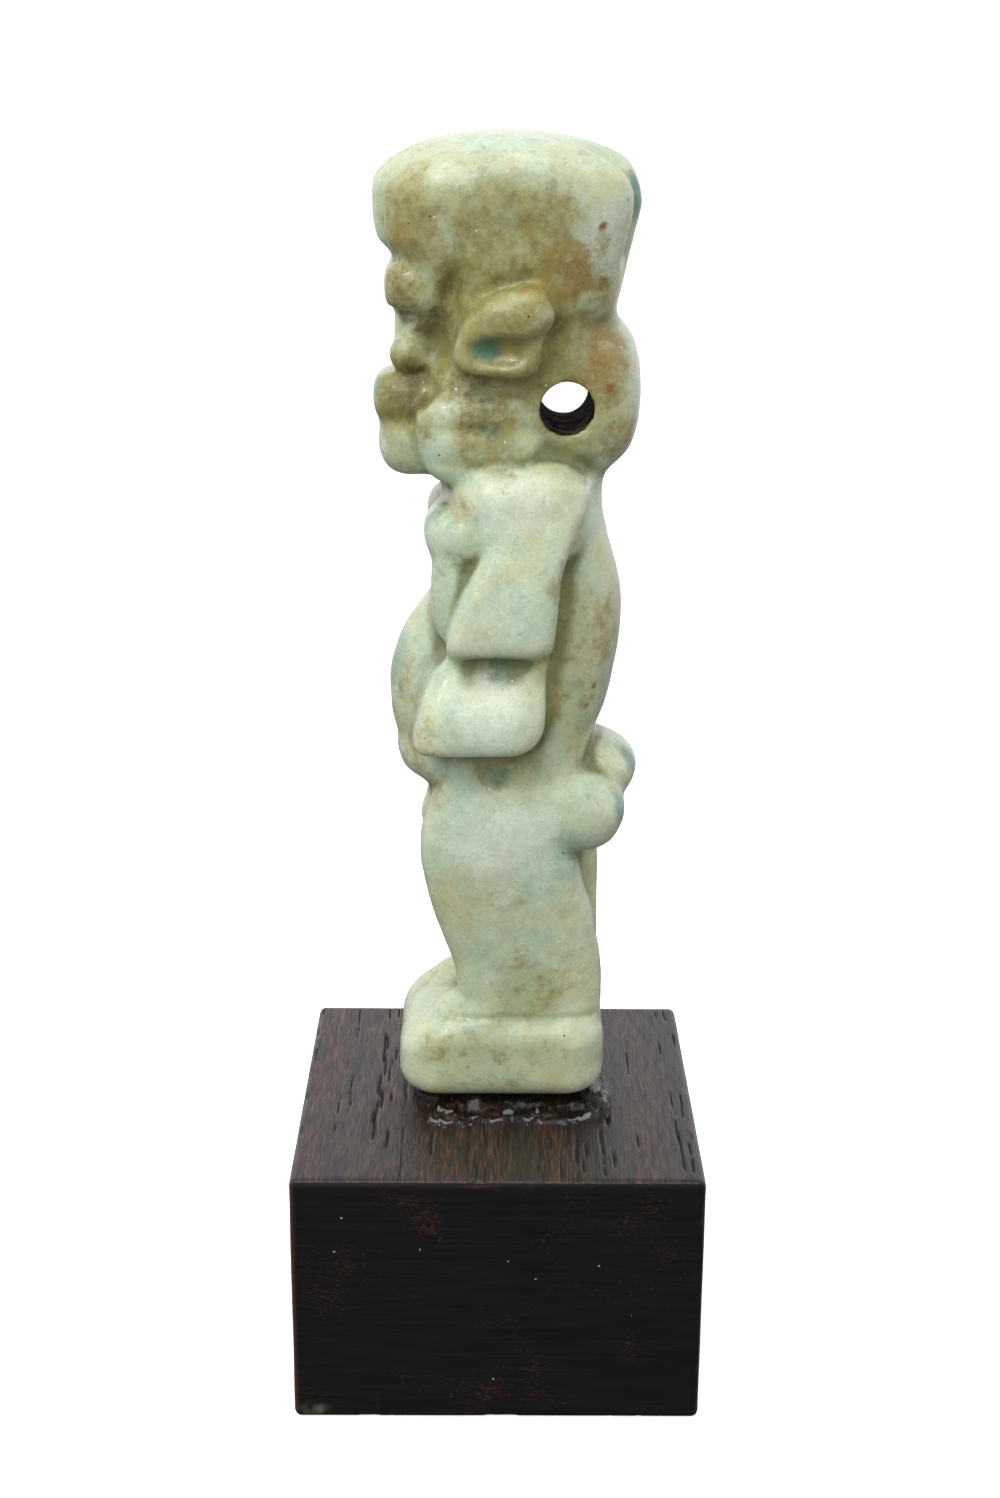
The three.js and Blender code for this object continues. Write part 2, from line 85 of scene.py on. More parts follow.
def bulged(offsets: list[Array], halves: list, power: float) -> Array:
    """Give the distance to a rounded form about its middle.

    Args:
        offsets: How far each place lies from the middle, along each axis.
        halves: Half-sizes of the form along the same axes.
        power: Squareness, 2 for an ellipse.

    Returns:
        Distance in millimetres, below zero inside.
    """
    parts = [np.abs(offset) / half for offset, half in zip(offsets, halves)]
    near = sum(part ** power for part in parts) ** (1 / power)
    slope = np.sqrt(sum((part ** (power - 1) / half) ** 2 for part, half in zip(parts, halves)))
    return (near - 1) * near ** (power - 1) / np.maximum(slope, FLATTEST)


def corner_shares(part: Array) -> list[tuple[Array, Array]]:
    """List the eight corners of a grid cell, with the share that each has in places inside the cell."""
    return [(np.array(c), np.prod(np.where(c, part, 1 - part), axis=1)) for c in np.ndindex(2, 2, 2)]


def waves(points: Array, size: float, seed: int) -> Array:
    """Give smooth random waves, the same on every run.

    Args:
        points: Places in millimetres, one in each row.
        size: Length of a wave in millimetres.
        seed: Picks one set of waves.

    Returns:
        A value from -1 to 1 for each place.
    """
    scaled = points / size
    cell = np.floor(scaled).astype(np.int64)
    part = scaled - cell
    part = part * part * (3 - 2 * part)
    total = np.zeros(len(points))
    for corner, share in corner_shares(part):
        mixed = np.bitwise_xor.reduce((cell + corner) * WAVE_PRIMES, axis=1) ^ (seed * SEED_PRIME)
        for shift, prime in SCRAMBLE:
            mixed = ((mixed ^ (mixed >> shift)) * prime) & CHANCE_TOP
        total += share * (mixed / (CHANCE_TOP // 2) - 1)
    return total


def mixed_waves(points: Array, rows: Rows) -> Array:
    """Add up sets of waves, each given by its length, seed and height."""
    return sum(height * waves(points, length, seed) for length, seed, height in rows)


def add_node(tree: NodeTree, kind: str, inputs: dict | None = None, **settings: object) -> Node:
    """Add one node with its settings, values and links.

    Args:
        tree: Node tree that gets the node.
        kind: Blender's name for the node type, after its first word.
        inputs: For each input a value, a socket to link, or a node whose first output in use is linked.
        settings: Node properties.

    Returns:
        The new node.
    """
    node = tree.nodes.new("ShaderNode" + kind)
    for name, value in settings.items():
        setattr(node, name, value)
    for key, value in (inputs or {}).items():
        if isinstance(value, Node):
            value = next(socket for socket in value.outputs if socket.enabled)
        if isinstance(value, NodeSocket):
            tree.links.new(value, node.inputs[key])
        else:
            node.inputs[key].default_value = value
    return node


def new_material(name: str) -> tuple[Material, NodeTree, NodeSocket]:
    """Start a material with an empty node tree.

    Args:
        name: The material's name.

    Returns:
        The material, its tree, and the places on the piece that its patterns follow.
    """
    material = bpy.data.materials.new(name)
    material.use_nodes = True
    tree = material.node_tree
    tree.nodes.clear()
    return material, tree, add_node(tree, "TexCoord").outputs["Object"]


def closed(
        material: Material, colour: Node | tuple, layers: list[tuple], relief: tuple[Node, float, float],
        values: dict) -> Material:
    """Close a material: colours laid over its base, and one shader with fine relief.

    Args:
        material: The material to close.
        colour: The base.
        layers: How far it covers, and a hex colour, for each layer from the lowest.
        relief: Node that gives the height, its strength, and its depth in millimetres.
        values: The shader's other inputs.

    Returns:
        The closed material.
    """
    tree = material.node_tree
    for share, hue in layers:
        colour = add_node(tree, "Mix", {0: share, 6: colour, 7: linear(hue)}, data_type="RGBA")
    height, strength, depth = relief
    bump = add_node(tree, "Bump", {"Height": height, "Strength": strength, "Distance": depth * MM})
    shader = add_node(tree, "BsdfPrincipled", {"Base Color": colour, "Normal": bump, **values})
    add_node(tree, "OutputMaterial", {"Surface": shader})
    return material


def new_piece(
        name: str, points: Array, faces: list, marks: dict[str, Array],
        finishes: list[Material], looks: Array) -> Object:
    """Make one smooth mesh object with its surface marks and finishes.

    Args:
        name: The piece's name.
        points: Corners in millimetres.
        faces: Corner numbers of each face.
        marks: A value for each corner under each mark's name.
        finishes: The piece's materials.
        looks: Which of the materials each face has.

    Returns:
        The object, linked to the scene.
    """
    mesh = bpy.data.meshes.new(name)
    mesh.from_pydata((points * MM).tolist(), [], faces)
    mesh.polygons.foreach_set("use_smooth", np.ones(len(mesh.polygons), bool))
    for mark, values in marks.items():
        mesh.attributes.new(mark, "FLOAT", "POINT").data.foreach_set("value", values.astype(np.float32))
    for finish in finishes:
        mesh.materials.append(finish)
    mesh.polygons.foreach_set("material_index", looks.astype(np.int32))
    mesh.update()
    piece = bpy.data.objects.new(name, mesh)
    bpy.context.scene.collection.objects.link(piece)
    return piece


class Stain(Enum):
    """Kinds of mark on the old glaze, each the name of a mesh attribute; the pale mark is partly painted
    highlight.
    """

    PATINA = "patina"
    TEAL = "teal"
    DIRT = "dirt"
    RUST = "rust"
    PALE = "pale"
    OLIVE = "olive"


@dataclass(frozen=True)
class Spot:
    """One stain: its middle and radius in mm, strength, stretch along Z, solid core, and ragged edge."""

    at: Point
    radius: float
    strength: float = 1.0
    tall: float = 1.0
    core: float = 0.3
    ragged: float = 0.35

    def cover(self, points: Array, edge: Array) -> Array:
        """Give how much of the stain each place has, from 0 to 1, with edge waves that break up its rim."""
        away = np.linalg.norm((points - self.at) / (1, 1, self.tall), axis=1) * (1 + self.ragged * edge)
        return self.strength * (1 - eased(away, self.core * self.radius, self.radius))


@dataclass(frozen=True)
class Mass:
    """A rounded mass: middle, half-sizes, seam width, squareness, and tilt about X in degrees."""

    at: Point
    size: Point
    seam: float
    power: float = 2.0
    tilt: float = 0.0

    def distance(self, at: Places) -> Array:
        """Give the distance to the mass.

        Args:
            at: Places in millimetres.

        Returns:
            Distance in millimetres, below zero inside.
        """
        c, s = cos(radians(self.tilt)), sin(radians(self.tilt))
        x, y, z = (place - middle for place, middle in zip(at, self.at))
        return bulged([x, c * y + s * z, c * z - s * y], self.size, self.power)


@dataclass(frozen=True)
class Loft:
    """A limb through rows of height, front, back, middle across and half-width, with rounded ends."""

    rows: Rows
    power: float
    seam: float
    end_round: float

    def row_at(self, z: Array) -> list[Array]:
        """Give front, back, middle and half-width at each height.

        Args:
            z: Heights.

        Returns:
            The four values, eased from row to row.
        """
        rows = np.array(self.rows)
        levels, values = rows[:, 0], rows[:, 1:]
        last = len(rows) - 1
        below = np.clip(np.searchsorted(levels, z, side="right") - 1, 0, last - 1)
        ends = [(max(i - 1, 0), min(i + 1, last)) for i in range(last + 1)]
        slopes = np.array([(values[b] - values[a]) / (levels[b] - levels[a]) for a, b in ends])
        span = levels[below + 1] - levels[below]
        part = np.clip((z - levels[below]) / span, 0, 1)
        ease = part * part * (3 - 2 * part)
        lean = part * (1 - part) * span
        return [
            values[below, i] + (values[below + 1, i] - values[below, i]) * ease
            + lean * ((1 - part) * slopes[below, i] - part * slopes[below + 1, i])
            for i in range(4)
        ]

    def distance(self, at: Places) -> Array:
        """Give the distance to the limb.

        Args:
            at: Places in millimetres.

        Returns:
            Distance in millimetres, below zero inside.
        """
        x, y, z = at
        front, back, middle, half = self.row_at(z)
        depth = (back - front) / 2
        side = bulged([x - middle, y - (front + back) / 2], [half, depth], self.power)
        ends = np.maximum(z - self.rows[-1][0], self.rows[0][0] - z)
        return -joined(-np.maximum(side, -np.minimum(half, depth)), -ends, self.end_round)


@dataclass(frozen=True)
class Plinth:
    """The thick rounded plinth under the feet, whose top falls away at the toes."""

    front: float = -4.75
    back: float = 5.12
    half: float = 4.15
    height: float = 4.2
    corner: float = 1.9
    edge: float = 1.25
    toe_from: float = -2.4
    toe_fall: float = 0.38

    def rounded(self, a: Array, b: Array, radius: float) -> Array:
        """Round the corner where two distances meet."""
        u, v = a + radius, b + radius
        return np.hypot(np.maximum(u, 0), np.maximum(v, 0)) + np.minimum(np.maximum(u, v), 0) - radius

    def outline(self, x: Array, y: Array) -> Array:
        """Give the distance to the plinth's outline, seen from above."""
        length = np.abs(y - (self.front + self.back) / 2) - (self.back - self.front) / 2
        return self.rounded(np.abs(x) - self.half, length, self.corner)

    def distance(self, at: Places) -> Array:
        """Give the distance to the plinth."""
        top = self.height - self.toe_fall * np.maximum(self.toe_from - at[1], 0)
        return self.rounded(self.outline(*at[:2]), np.abs(at[2] - top / 2) - top / 2, self.edge)


@dataclass(frozen=True)
class Crown:
    """The plumed crown: a flaring loft under a low dome, with plume grooves in front and behind."""

    loft: Loft = Loft(
        ((37.6, -4.3, 4.85, 0, 4), (39.3, -4.6, 5.45, 0, 4.45), (39.9, -4.95, 5.65, 0, 4.6),
         (40.6, -5.7, 5.9, 0, 4.8), (42.3, -6, 6.25, 0, 5.1), (45.6, -6, 5.1, 0, 5.1)), 4.2, 0.8, 0.3)
    height: float = 45.0
    dome_from: float = 42.3
    dome_middle: float = 0.4
    dome_depth: float = 6.25
    dome_half: float = 5.6
    dome_power: float = 2.4
    dome_scale: float = 2.8
    dome_edge: float = 0.6
    plumes: int = 5
    plume_pitch: float = 1.75
    plume_cut: float = 0.28
    plume_width: float = 0.36
    plume_rise: Pair = (39.1, 40.1)
    plume_depth: Pair = (2.6, 5.2)

    def distance(self, at: Places) -> Array:
        """Give the distance to the crown.

        Args:
            at: Places in millimetres.

        Returns:
            Distance in millimetres, below zero inside.
        """
        x, y, z = at
        rise = np.maximum(z - self.dome_from, 0) / (self.height - self.dome_from)
        along = np.hypot((y - self.dome_middle) / self.dome_depth, rise)
        p = self.dome_power
        near = (along ** p + (np.abs(x) / self.dome_half) ** p) ** (1 / p)
        return -joined(-self.loft.distance(at), (1 - near) * self.dome_scale, self.dome_edge)

    def grooves(self, at: Places) -> Array:
        """Give the depth of the grooves between the plumes.

        Args:
            at: Places in millimetres.

        Returns:
            Depth in millimetres.
        """
        x, y, z = at
        places = [(i - self.plumes / 2) * self.plume_pitch for i in range(1, self.plumes)]
        cut = sum(np.exp(-((x - place) / self.plume_width) ** 2) for place in places)
        return self.plume_cut * cut * eased(z, *self.plume_rise) * eased(np.abs(y), *self.plume_depth)


@dataclass(frozen=True)
class Figure:
    """The carved form: plinth, limbs, rounded masses, hollows and grooves, given for the left half."""

    plinth: Plinth = Plinth()
    crown: Crown = Crown()
    lofts: dict[str, Loft] = field(default_factory=lambda: {
        "leg": Loft(((3.4, -1.9, 4.9, 2.1, 1.65), (6.4, -2.1, 4.95, 2.1, 1.6), (9, -2.95, 4.55, 2.2, 1.8),
                     (11, -3.45, 3.95, 2.3, 2), (12.6, -3.65, 3.75, 2.35, 2.12), (14.4, -3.4, 4.4, 2.3, 2.15),
                     (16.2, -2.6, 4.2, 2.1, 2)), 2.8, 0.25, 0.9),
        "arm": Loft(((18.05, -3.85, 1.1, 4.3, 1.75), (18.6, -3.95, 1.75, 4.4, 1.85),
                     (19.6, -3.72, 2.05, 4.38, 1.83), (20.6, -3.4, 2.12, 4.22, 1.67),
                     (21.4, -3.05, 2.12, 4, 1.44), (22, -2.6, 2.18, 3.9, 1.34), (22.4, -2.4, 2.24, 3.92, 1.36),
                     (22.85, -2.4, 2.37, 4.26, 1.74), (23.8, -2.25, 2.52, 4.32, 1.8),
                     (24.9, -1.87, 2.62, 4.3, 1.75), (26.15, -1.32, 2.78, 4.2, 1.7),
                     (27.2, -0.8, 3.05, 4.05, 1.65), (28.7, -0.6, 3.6, 3.7, 1.5), (30, -0.4, 4, 3.3, 1.2)),
                    5, 0.16, 0.35),
        "torso": Loft(((13.6, -2.9, 4.3, 0, 4.2), (17.6, -3.4, 4.4, 0, 4.2), (20.3, -3.5, 5.2, 0, 4.2),
                       (24.2, -3.05, 5.6, 0, 4.1), (27.2, -2.95, 4.95, 0, 4.1), (30.4, -2.3, 4.35, 0, 3.6)),
                      3, 0.5, 0.8),
        "head": Loft(((28.4, -2.2, 4.3, 0, 3), (31, -3.2, 4.9, 0, 3.4), (34, -3.5, 5, 0, 3.6),
                      (37.2, -4, 5, 0, 4.05), (40, -4.45, 5.3, 0, 4.45)), 2.6, 0.6, 0.9),
    })
    lumps: dict[str, Mass] = field(default_factory=lambda: {
        "belly": Mass((0, -0.9, 19.7), (3.7, 4.25, 5.35), 0.8),
        "belly_fold": Mass((0, -2.5, 16.8), (3.2, 2.3, 1.6), 0.5),
        "shoulder": Mass((2.9, 0.85, 28.7), (2.55, 3.15, 2.5), 0.45, 2.6),
        "flank": Mass((3, -1.9, 25.3), (1.9, 1.2, 2.5), 0.35, 3),
        "breast": Mass((2.5, -1.05, 27.75), (2.7, 2.42, 1.5), 0.45, 2.6),
        "foot": Mass((2.1, -1.1, 3.75), (1.65, 2.2, 1.3), 0.5),
        "loincloth": Mass((0, -2.3, 13.4), (0.9, 1.4, 1.6), 0.6),
        "buttock": Mass((2.1, 3.3, 14.7), (2.3, 2.65, 2), 0.45, 2.4, -25),
        "tail_root": Mass((0, 4.7, 16), (2.4, 1.8, 1.55), 0.3, 2.6, -30),
        "tail": Mass((0, 3.5, 9), (1.05, 1.3, 8.2), 0.4),
        "mane_lobe": Mass((2.4, -1, 32.3), (2.1, 2.8, 2.4), 0.6, 3, 8),
        "mane_back": Mass((0, 3.87, 33.68), (3.3, 2.4, 3.5), 0.6, 2.6),
        "brow": Mass((0, -3.6, 38.48), (3.95, 1.58, 1.22), 0.3, 3.6),
        "cheek": Mass((1.9, -1.7, 35.1), (1.7, 1.35, 2), 0.6),
        "nose_bridge": Mass((0, -3.95, 36.5), (1.75, 0.85, 1.3), 0.35, 3),
        "nose_wing": Mass((1.7, -4.08, 35.5), (0.98, 0.88, 0.92), 0.1),
        "muzzle": Mass((0, -3.95, 33.5), (2.5, 1.8, 1.25), 0.25, 3.2),
        "beard": Mass((0, -3.75, 31.5), (2.6, 1.78, 1.65), 0.5, 2.6),
        "eye": Mass((1.75, -3.7, 36.75), (0.85, 0.6, 0.4), 0.15),
        "ear_base": Mass((4.1, -0.15, 36.2), (1.55, 1.98, 1.38), 0.25, 3.8, -7),
        "ear_rim": Mass((4.62, 0.5, 37.42), (1.42, 1.8, 1.15), 0.2, 3.2, 19),
    })
    hollows: dict[str, Mass] = field(default_factory=lambda: {
        "ear_hollow": Mass((6.45, -0.15, 35.95), (1.4, 1.95, 0.85), 0.25, 2, 2),
        "temple": Mass((4.9, -2.3, 37.9), (1.55, 0.6, 1.7), 0.6, 2, -10),
        "eye_socket": Mass((2.6, -4.6, 37.1), (1.5, 0.8, 0.45), 0.3),
        "cheek_hollow": Mass((3.7, -2.95, 35.9), (1.6, 0.75, 1.3), 0.4),
        "mouth_corner": Mass((3.3, -3.45, 34.2), (0.9, 0.6, 0.9), 0.4),
        "navel": Mass((0, -5.35, 19.4), (0.45, 0.6, 0.5), 0.2),
        "leg_gap": Mass((0, -4, 8.5), (0.75, 3.2, 3.9), 0.4, 3),
        "tail_side": Mass((1.25, 5, 8.4), (0.4, 1.6, 4.4), 0.3),
    })
    # Level, depth and half-width of each groove.
    mane_rolls: Rows = ((34.0, 0.16, 0.3), (32.45, 0.14, 0.28), (31.0, 0.1, 0.25))
    roll_side: Pair = (2.0, 2.8)
    roll_front: Pair = (-3.4, -2.6)
    roll_back: Pair = (1.2, 2.0)
    bore_radius: float = 1.18
    bore_y: float = 2.9
    bore_z: float = 33.3

    def roll_grooves(self, at: Places) -> Array:
        """Give the depth of the grooves between the mane's rolls.

        Args:
            at: Places in millimetres.

        Returns:
            Depth in millimetres.
        """
        x, y, z = at
        cut = sum(deep * np.exp(-((z - level) / tall) ** 2) for level, deep, tall in self.mane_rolls)
        cut = cut * eased(np.abs(x), *self.roll_side)
        return cut * eased(y, *self.roll_front) * (1 - eased(y, *self.roll_back))

    def distance(self, at: Places) -> Array:
        """Give the distance to the figure before its cord hole is bored.

        Args:
            at: Places in millimetres.

        Returns:
            Distance in millimetres, below zero inside.
        """
        at = (np.abs(at[0]), *at[1:])
        form = self.plinth.distance(at)
        for loft in self.lofts.values():
            form = joined(form, loft.distance(at), loft.seam)
        form = joined(form, self.crown.distance(at), self.crown.loft.seam)
        for mass in self.lumps.values():
            form = joined(form, mass.distance(at), mass.seam)
        for mass in self.hollows.values():
            form = -joined(-form, mass.distance(at), mass.seam)
        return np.maximum(form + self.crown.grooves(at) + self.roll_grooves(at), -at[2])

    def bore(self, y: Array, z: Array) -> Array:
        """Give how far inside the cord hole a place is."""
        return self.bore_radius - np.hypot(y - self.bore_y, z - self.bore_z)


@dataclass
class FormGrid:
    """A grid of distances around a form, and the skin drawn through its zeros."""

    low: Point
    high: Point
    step: float
    blur_reach: float = 2.5

    def __post_init__(self) -> None:
        """Lay out the grid's axes."""
        self.axes = [np.arange(low, high, self.step) for low, high in zip(self.low, self.high)]

    def sampled(self, figure: Figure) -> Array:
        """Sample the figure's distance at each grid point, slice by slice."""
        y, z = np.meshgrid(*self.axes[1:], indexing="ij")
        return np.array([figure.distance((np.full_like(y, x), y, z)) for x in self.axes[0]], np.float32)

    def softened(self, values: Array, width: float) -> Array:
        """Blur the distances, which wears edges and fills creases.

        Args:
            values: Distances at the grid points.
            width: Spread of the blur in millimetres.

        Returns:
            The blurred distances.
        """
        spread = width / self.step
        reach = int(np.ceil(self.blur_reach * spread))
        shares = np.exp(-0.5 * (np.arange(-reach, reach + 1) / spread) ** 2)
        shares /= shares.sum()
        for axis in range(3):
            padded = np.pad(values, [(reach, reach) if i == axis else (0, 0) for i in range(3)], mode="edge")
            spans = [range(i, i + values.shape[axis]) for i in range(len(shares))]
            values = sum(np.float32(s) * np.take(padded, span, axis) for s, span in zip(shares, spans))
        return values

    def read(self, values: Array, points: Array) -> Array:
        """Read grid values between the grid points.

        Args:
            values: Values at the grid points.
            points: Places in millimetres.

        Returns:
            The value at each place.
        """
        scaled = (points - np.array(self.low)) / self.step
        cell = np.clip(np.floor(scaled).astype(int), 0, np.array(values.shape) - 2)
        return sum(share * values[tuple((cell + corner).T)] for corner, share in corner_shares(scaled - cell))

    def normal(self, values: Array, points: Array) -> Array:
        """Give a unit step at each place, in the direction in which the grid values rise."""
        rise = [self.read(values, points + s) - self.read(values, points - s) for s in self.step * np.eye(3)]
        return (rise / np.maximum(np.linalg.norm(rise, axis=0), FLATTEST)).T

    def skin(self, values: Array) -> tuple[Array, Array]:
        """Draw a closed skin of four-sided faces through the zeros of the grid.

        Args:
            values: Distances at the grid points.

        Returns:
            The skin's corners in millimetres and its faces.
        """
        inside = values < 0
        corners = np.array(list(np.ndindex(2, 2, 2)))
        blocks = [inside[tuple(slice(c, n - 1 + c) for c, n in zip(corner, inside.shape))] for corner in corners]
        filled = sum(block.astype(np.int8) for block in blocks)
        crossed = (filled > 0) & (filled < 8)
        number = np.full(crossed.shape, -1)
        number[crossed] = np.arange(crossed.sum())
        cells = np.argwhere(crossed)
        readings = np.stack([values[tuple((cells + c).T)] for c in corners], axis=1)
        place, count = np.zeros((len(cells), 3)), np.zeros(len(cells))
        pairs = [(a, b) for a, b in np.ndindex(8, 8) if a < b and np.abs(corners[a] - corners[b]).sum() == 1]
        for a, b in pairs:
            cut = (readings[:, a] < 0) != (readings[:, b] < 0)
            part = readings[cut, a] / (readings[cut, a] - readings[cut, b])
            place[cut] += corners[a] + (corners[b] - corners[a]) * part[:, None]
            count[cut] += 1
        points = np.array(self.low) + self.step * (cells + place / count[:, None])
        return points, np.concatenate([self.skin_faces(inside, number, axis) for axis in range(3)])

    def skin_faces(self, inside: Array, number: Array, axis: int) -> Array:
        """Make the faces across the grid lines of one axis.

        Args:
            inside: Whether each grid point is inside the form.
            number: The skin corner in each grid cell.
            axis: The axis whose lines are crossed.

        Returns:
            Four corner numbers for each face.
        """
        near = np.take(inside, range(inside.shape[axis] - 1), axis)
        far = np.take(inside, range(1, inside.shape[axis]), axis)
        edges = np.argwhere(near != far)
        u, v = (axis + 1) % 3, (axis + 2) % 3
        faces = []
        for du, dv in ((1, 1), (0, 1), (0, 0), (1, 0)):
            at = edges.copy()
            at[:, u] -= du
            at[:, v] -= dv
            faces.append(number[tuple(at.T)])
        faces = np.stack(faces, axis=1)
        inward = ~near[tuple(edges.T)]
        faces[inward] = faces[inward][:, ::-1]
        return faces


@dataclass(frozen=True)
class Tint:
    """A stain's look: its mark, hex colour, strength, grain in mm, how broken up it is, and how far it fills."""

    mark: str
    colour: str
    strength: float
    grain: float
    broken: float
    fill: float = 1.0


@dataclass(frozen=True)
class MouldedFaience:
    """Faience pressed in a mould and fired: a thin worn glaze over a pale sandy body."""

    glaze: str = "#c3cfae"
    glaze_blue: str = "#b7cdb3"
    glaze_sandy: str = "#c6c99e"
    cloud: float = 4.0
    mottle: float = 0.8
    grit: float = 0.2
    pit: float = 0.14
    pit_dirt: str = "#6b6238"
    # Colour, gap and radius of each kind.
    specks: tuple[tuple[str, float, float], ...] = (("#3a3722", 1.6, 0.05), ("#f4f6e8", 1.12, 0.04))
    tints: tuple[Tint, ...] = (
        Tint("ridge", "#dde4cc", 0.4, 0.6, 0.6),
        # The hollow tint darkens creases and undersides: partly glaze pooled there, partly painted shade.
        Tint("hollow", "#6c7242", 0.95, 0.7, 0.9),
        # The pale tint is paler glaze, and on top-lit parts also painted highlight.
        Tint("pale", "#d8e4cf", 0.85, 0.9, 1.2),
        Tint("olive", "#a5a162", 0.88, 1.6, 1.1, 0.95),
        Tint("olive", "#7f7736", 0.68, 0.6, 2.8, 0.68),
        Tint("patina", "#967d38", 0.75, 0.75, 2.7, 0.68),
        Tint("teal", "#3f8072", 0.85, 0.6, 0.9),
        Tint("dirt", "#5a4c2c", 0.85, 0.3, 1.8),
        Tint("rust", "#8a5c18", 1.0, 0.15, 1.4),
    )

    def material(self) -> Material:
        """Make the satin glaze with clouds, stains, painted shade in creases, painted highlight on top-lit parts,
        specks and fine pitting.

        Returns:
            The material.
        """
        # A worn alkaline glaze: soft satin light, a little light carried under the surface, and sandy mottling.
        material, tree, place = new_material("moulded_glazed_faience")
        cloud, mottle, grit = (
            add_node(tree, "TexNoise", {
                "Vector": place, "Scale": 1 / (size * MM), "Detail": 6.0, "Roughness": 0.65})
            for size in (self.cloud, self.mottle, self.grit))
        colour = add_node(tree, "ValToRGB", {"Fac": cloud})
        for stop, part, hue in zip(colour.color_ramp.elements, (0.38, 0.62), (self.glaze_blue, self.glaze_sandy)):
            stop.position, stop.color = part, linear(hue)
        colour.color_ramp.elements.new(0.5).color = linear(self.glaze)
        for tint in self.tints:
            mark = add_node(tree, "Attribute", attribute_name=tint.mark).outputs["Fac"]
            grain = add_node(tree, "TexNoise", {
                "Vector": place, "Scale": 1 / (tint.grain * MM), "Detail": 6.0, "Roughness": 0.7})
            breaks = tint.broken / tint.fill
            spread = add_node(tree, "Math", {0: grain, 1: breaks, 2: mark}, operation="MULTIPLY_ADD")
            share = add_node(tree, "MapRange", {
                "Value": spread, "From Min": 0.62 * breaks, "From Max": 0.5 * breaks + 1 / tint.fill,
                "To Max": tint.strength})
            colour = add_node(tree, "Mix", {0: share, 6: colour, 7: linear(tint.colour)}, data_type="RGBA")
        for pattern, swing in ((mottle, 0.1), (grit, 0.06)):
            shade = add_node(tree, "MapRange", {
                "Value": pattern, **NOISE_SPAN, "To Min": 1 - swing, "To Max": 1 + swing})
            colour = add_node(tree, "VectorMath", {0: colour, "Scale": shade}, operation="SCALE")
        pits = add_node(tree, "TexNoise", {"Vector": place, "Scale": 1 / (self.pit * MM), "Detail": 2.0})
        pitted = add_node(tree, "MapRange", {"Value": pits, "From Min": 0.66, "From Max": 0.74, "To Max": 0.4})
        layers = [(pitted, self.pit_dirt)]
        for hue, gap, size in self.specks:
            cells = add_node(tree, "TexVoronoi", {"Vector": place, "Scale": 1 / (gap * MM)})
            layers.append((add_node(tree, "Math", {0: cells, 1: size / gap}, operation="LESS_THAN"), hue))
        rough = add_node(tree, "MapRange", {"Value": mottle, **NOISE_SPAN, "To Min": 0.17, "To Max": 0.38})
        grime = add_node(tree, "Attribute", attribute_name=Stain.DIRT.value).outputs["Fac"]
        rough = add_node(tree, "Math", {0: grime, 1: 0.5, 2: rough}, operation="MULTIPLY_ADD")
        height = add_node(tree, "Math", {0: mottle, 1: grit}, operation="ADD")
        return closed(material, colour, layers, (height, 0.45, 0.05), {
            "Roughness": rough, "IOR": 1.5, "Coat Weight": 0.3, "Coat Roughness": 0.08,
            "Subsurface Weight": 0.2, "Subsurface Radius": (1.0, 1.0, 0.8), "Subsurface Scale": 0.3 * MM})


@dataclass(frozen=True)
class ShadedGrimyBore:
    """The cord hole's bare wall, where no glaze took and old dirt has settled, its dark colour also painted shade
    inside the deep hole.
    """

    # Dirt colour and darker crust, both partly painted shade of the hole.
    dirt: str = "#63584c"
    crust: str = "#15110e"
    patch: float = 0.9

    def material(self) -> Material:
        """Make the dull dark wall.

        Returns:
            The material.
        """
        # Unglazed wall under old dirt, its dark colour partly painted shade of the deep hole; quite dull, so the
        # white room behind doesn't shine on it.
        material, tree, place = new_material("unglazed_grimy_bore_and_painted_shade")
        patch = add_node(tree, "TexNoise", {
            "Vector": place, "Scale": 1 / (self.patch * MM), "Detail": 5.0, "Roughness": 0.65})
        cover = add_node(tree, "MapRange", {"Value": patch, "From Min": 0.42, "From Max": 0.56})
        return closed(material, linear(self.dirt), [(cover, self.crust)], (patch, 0.5, 0.06), {
            "Roughness": 0.95, "Specular IOR Level": 0.05})


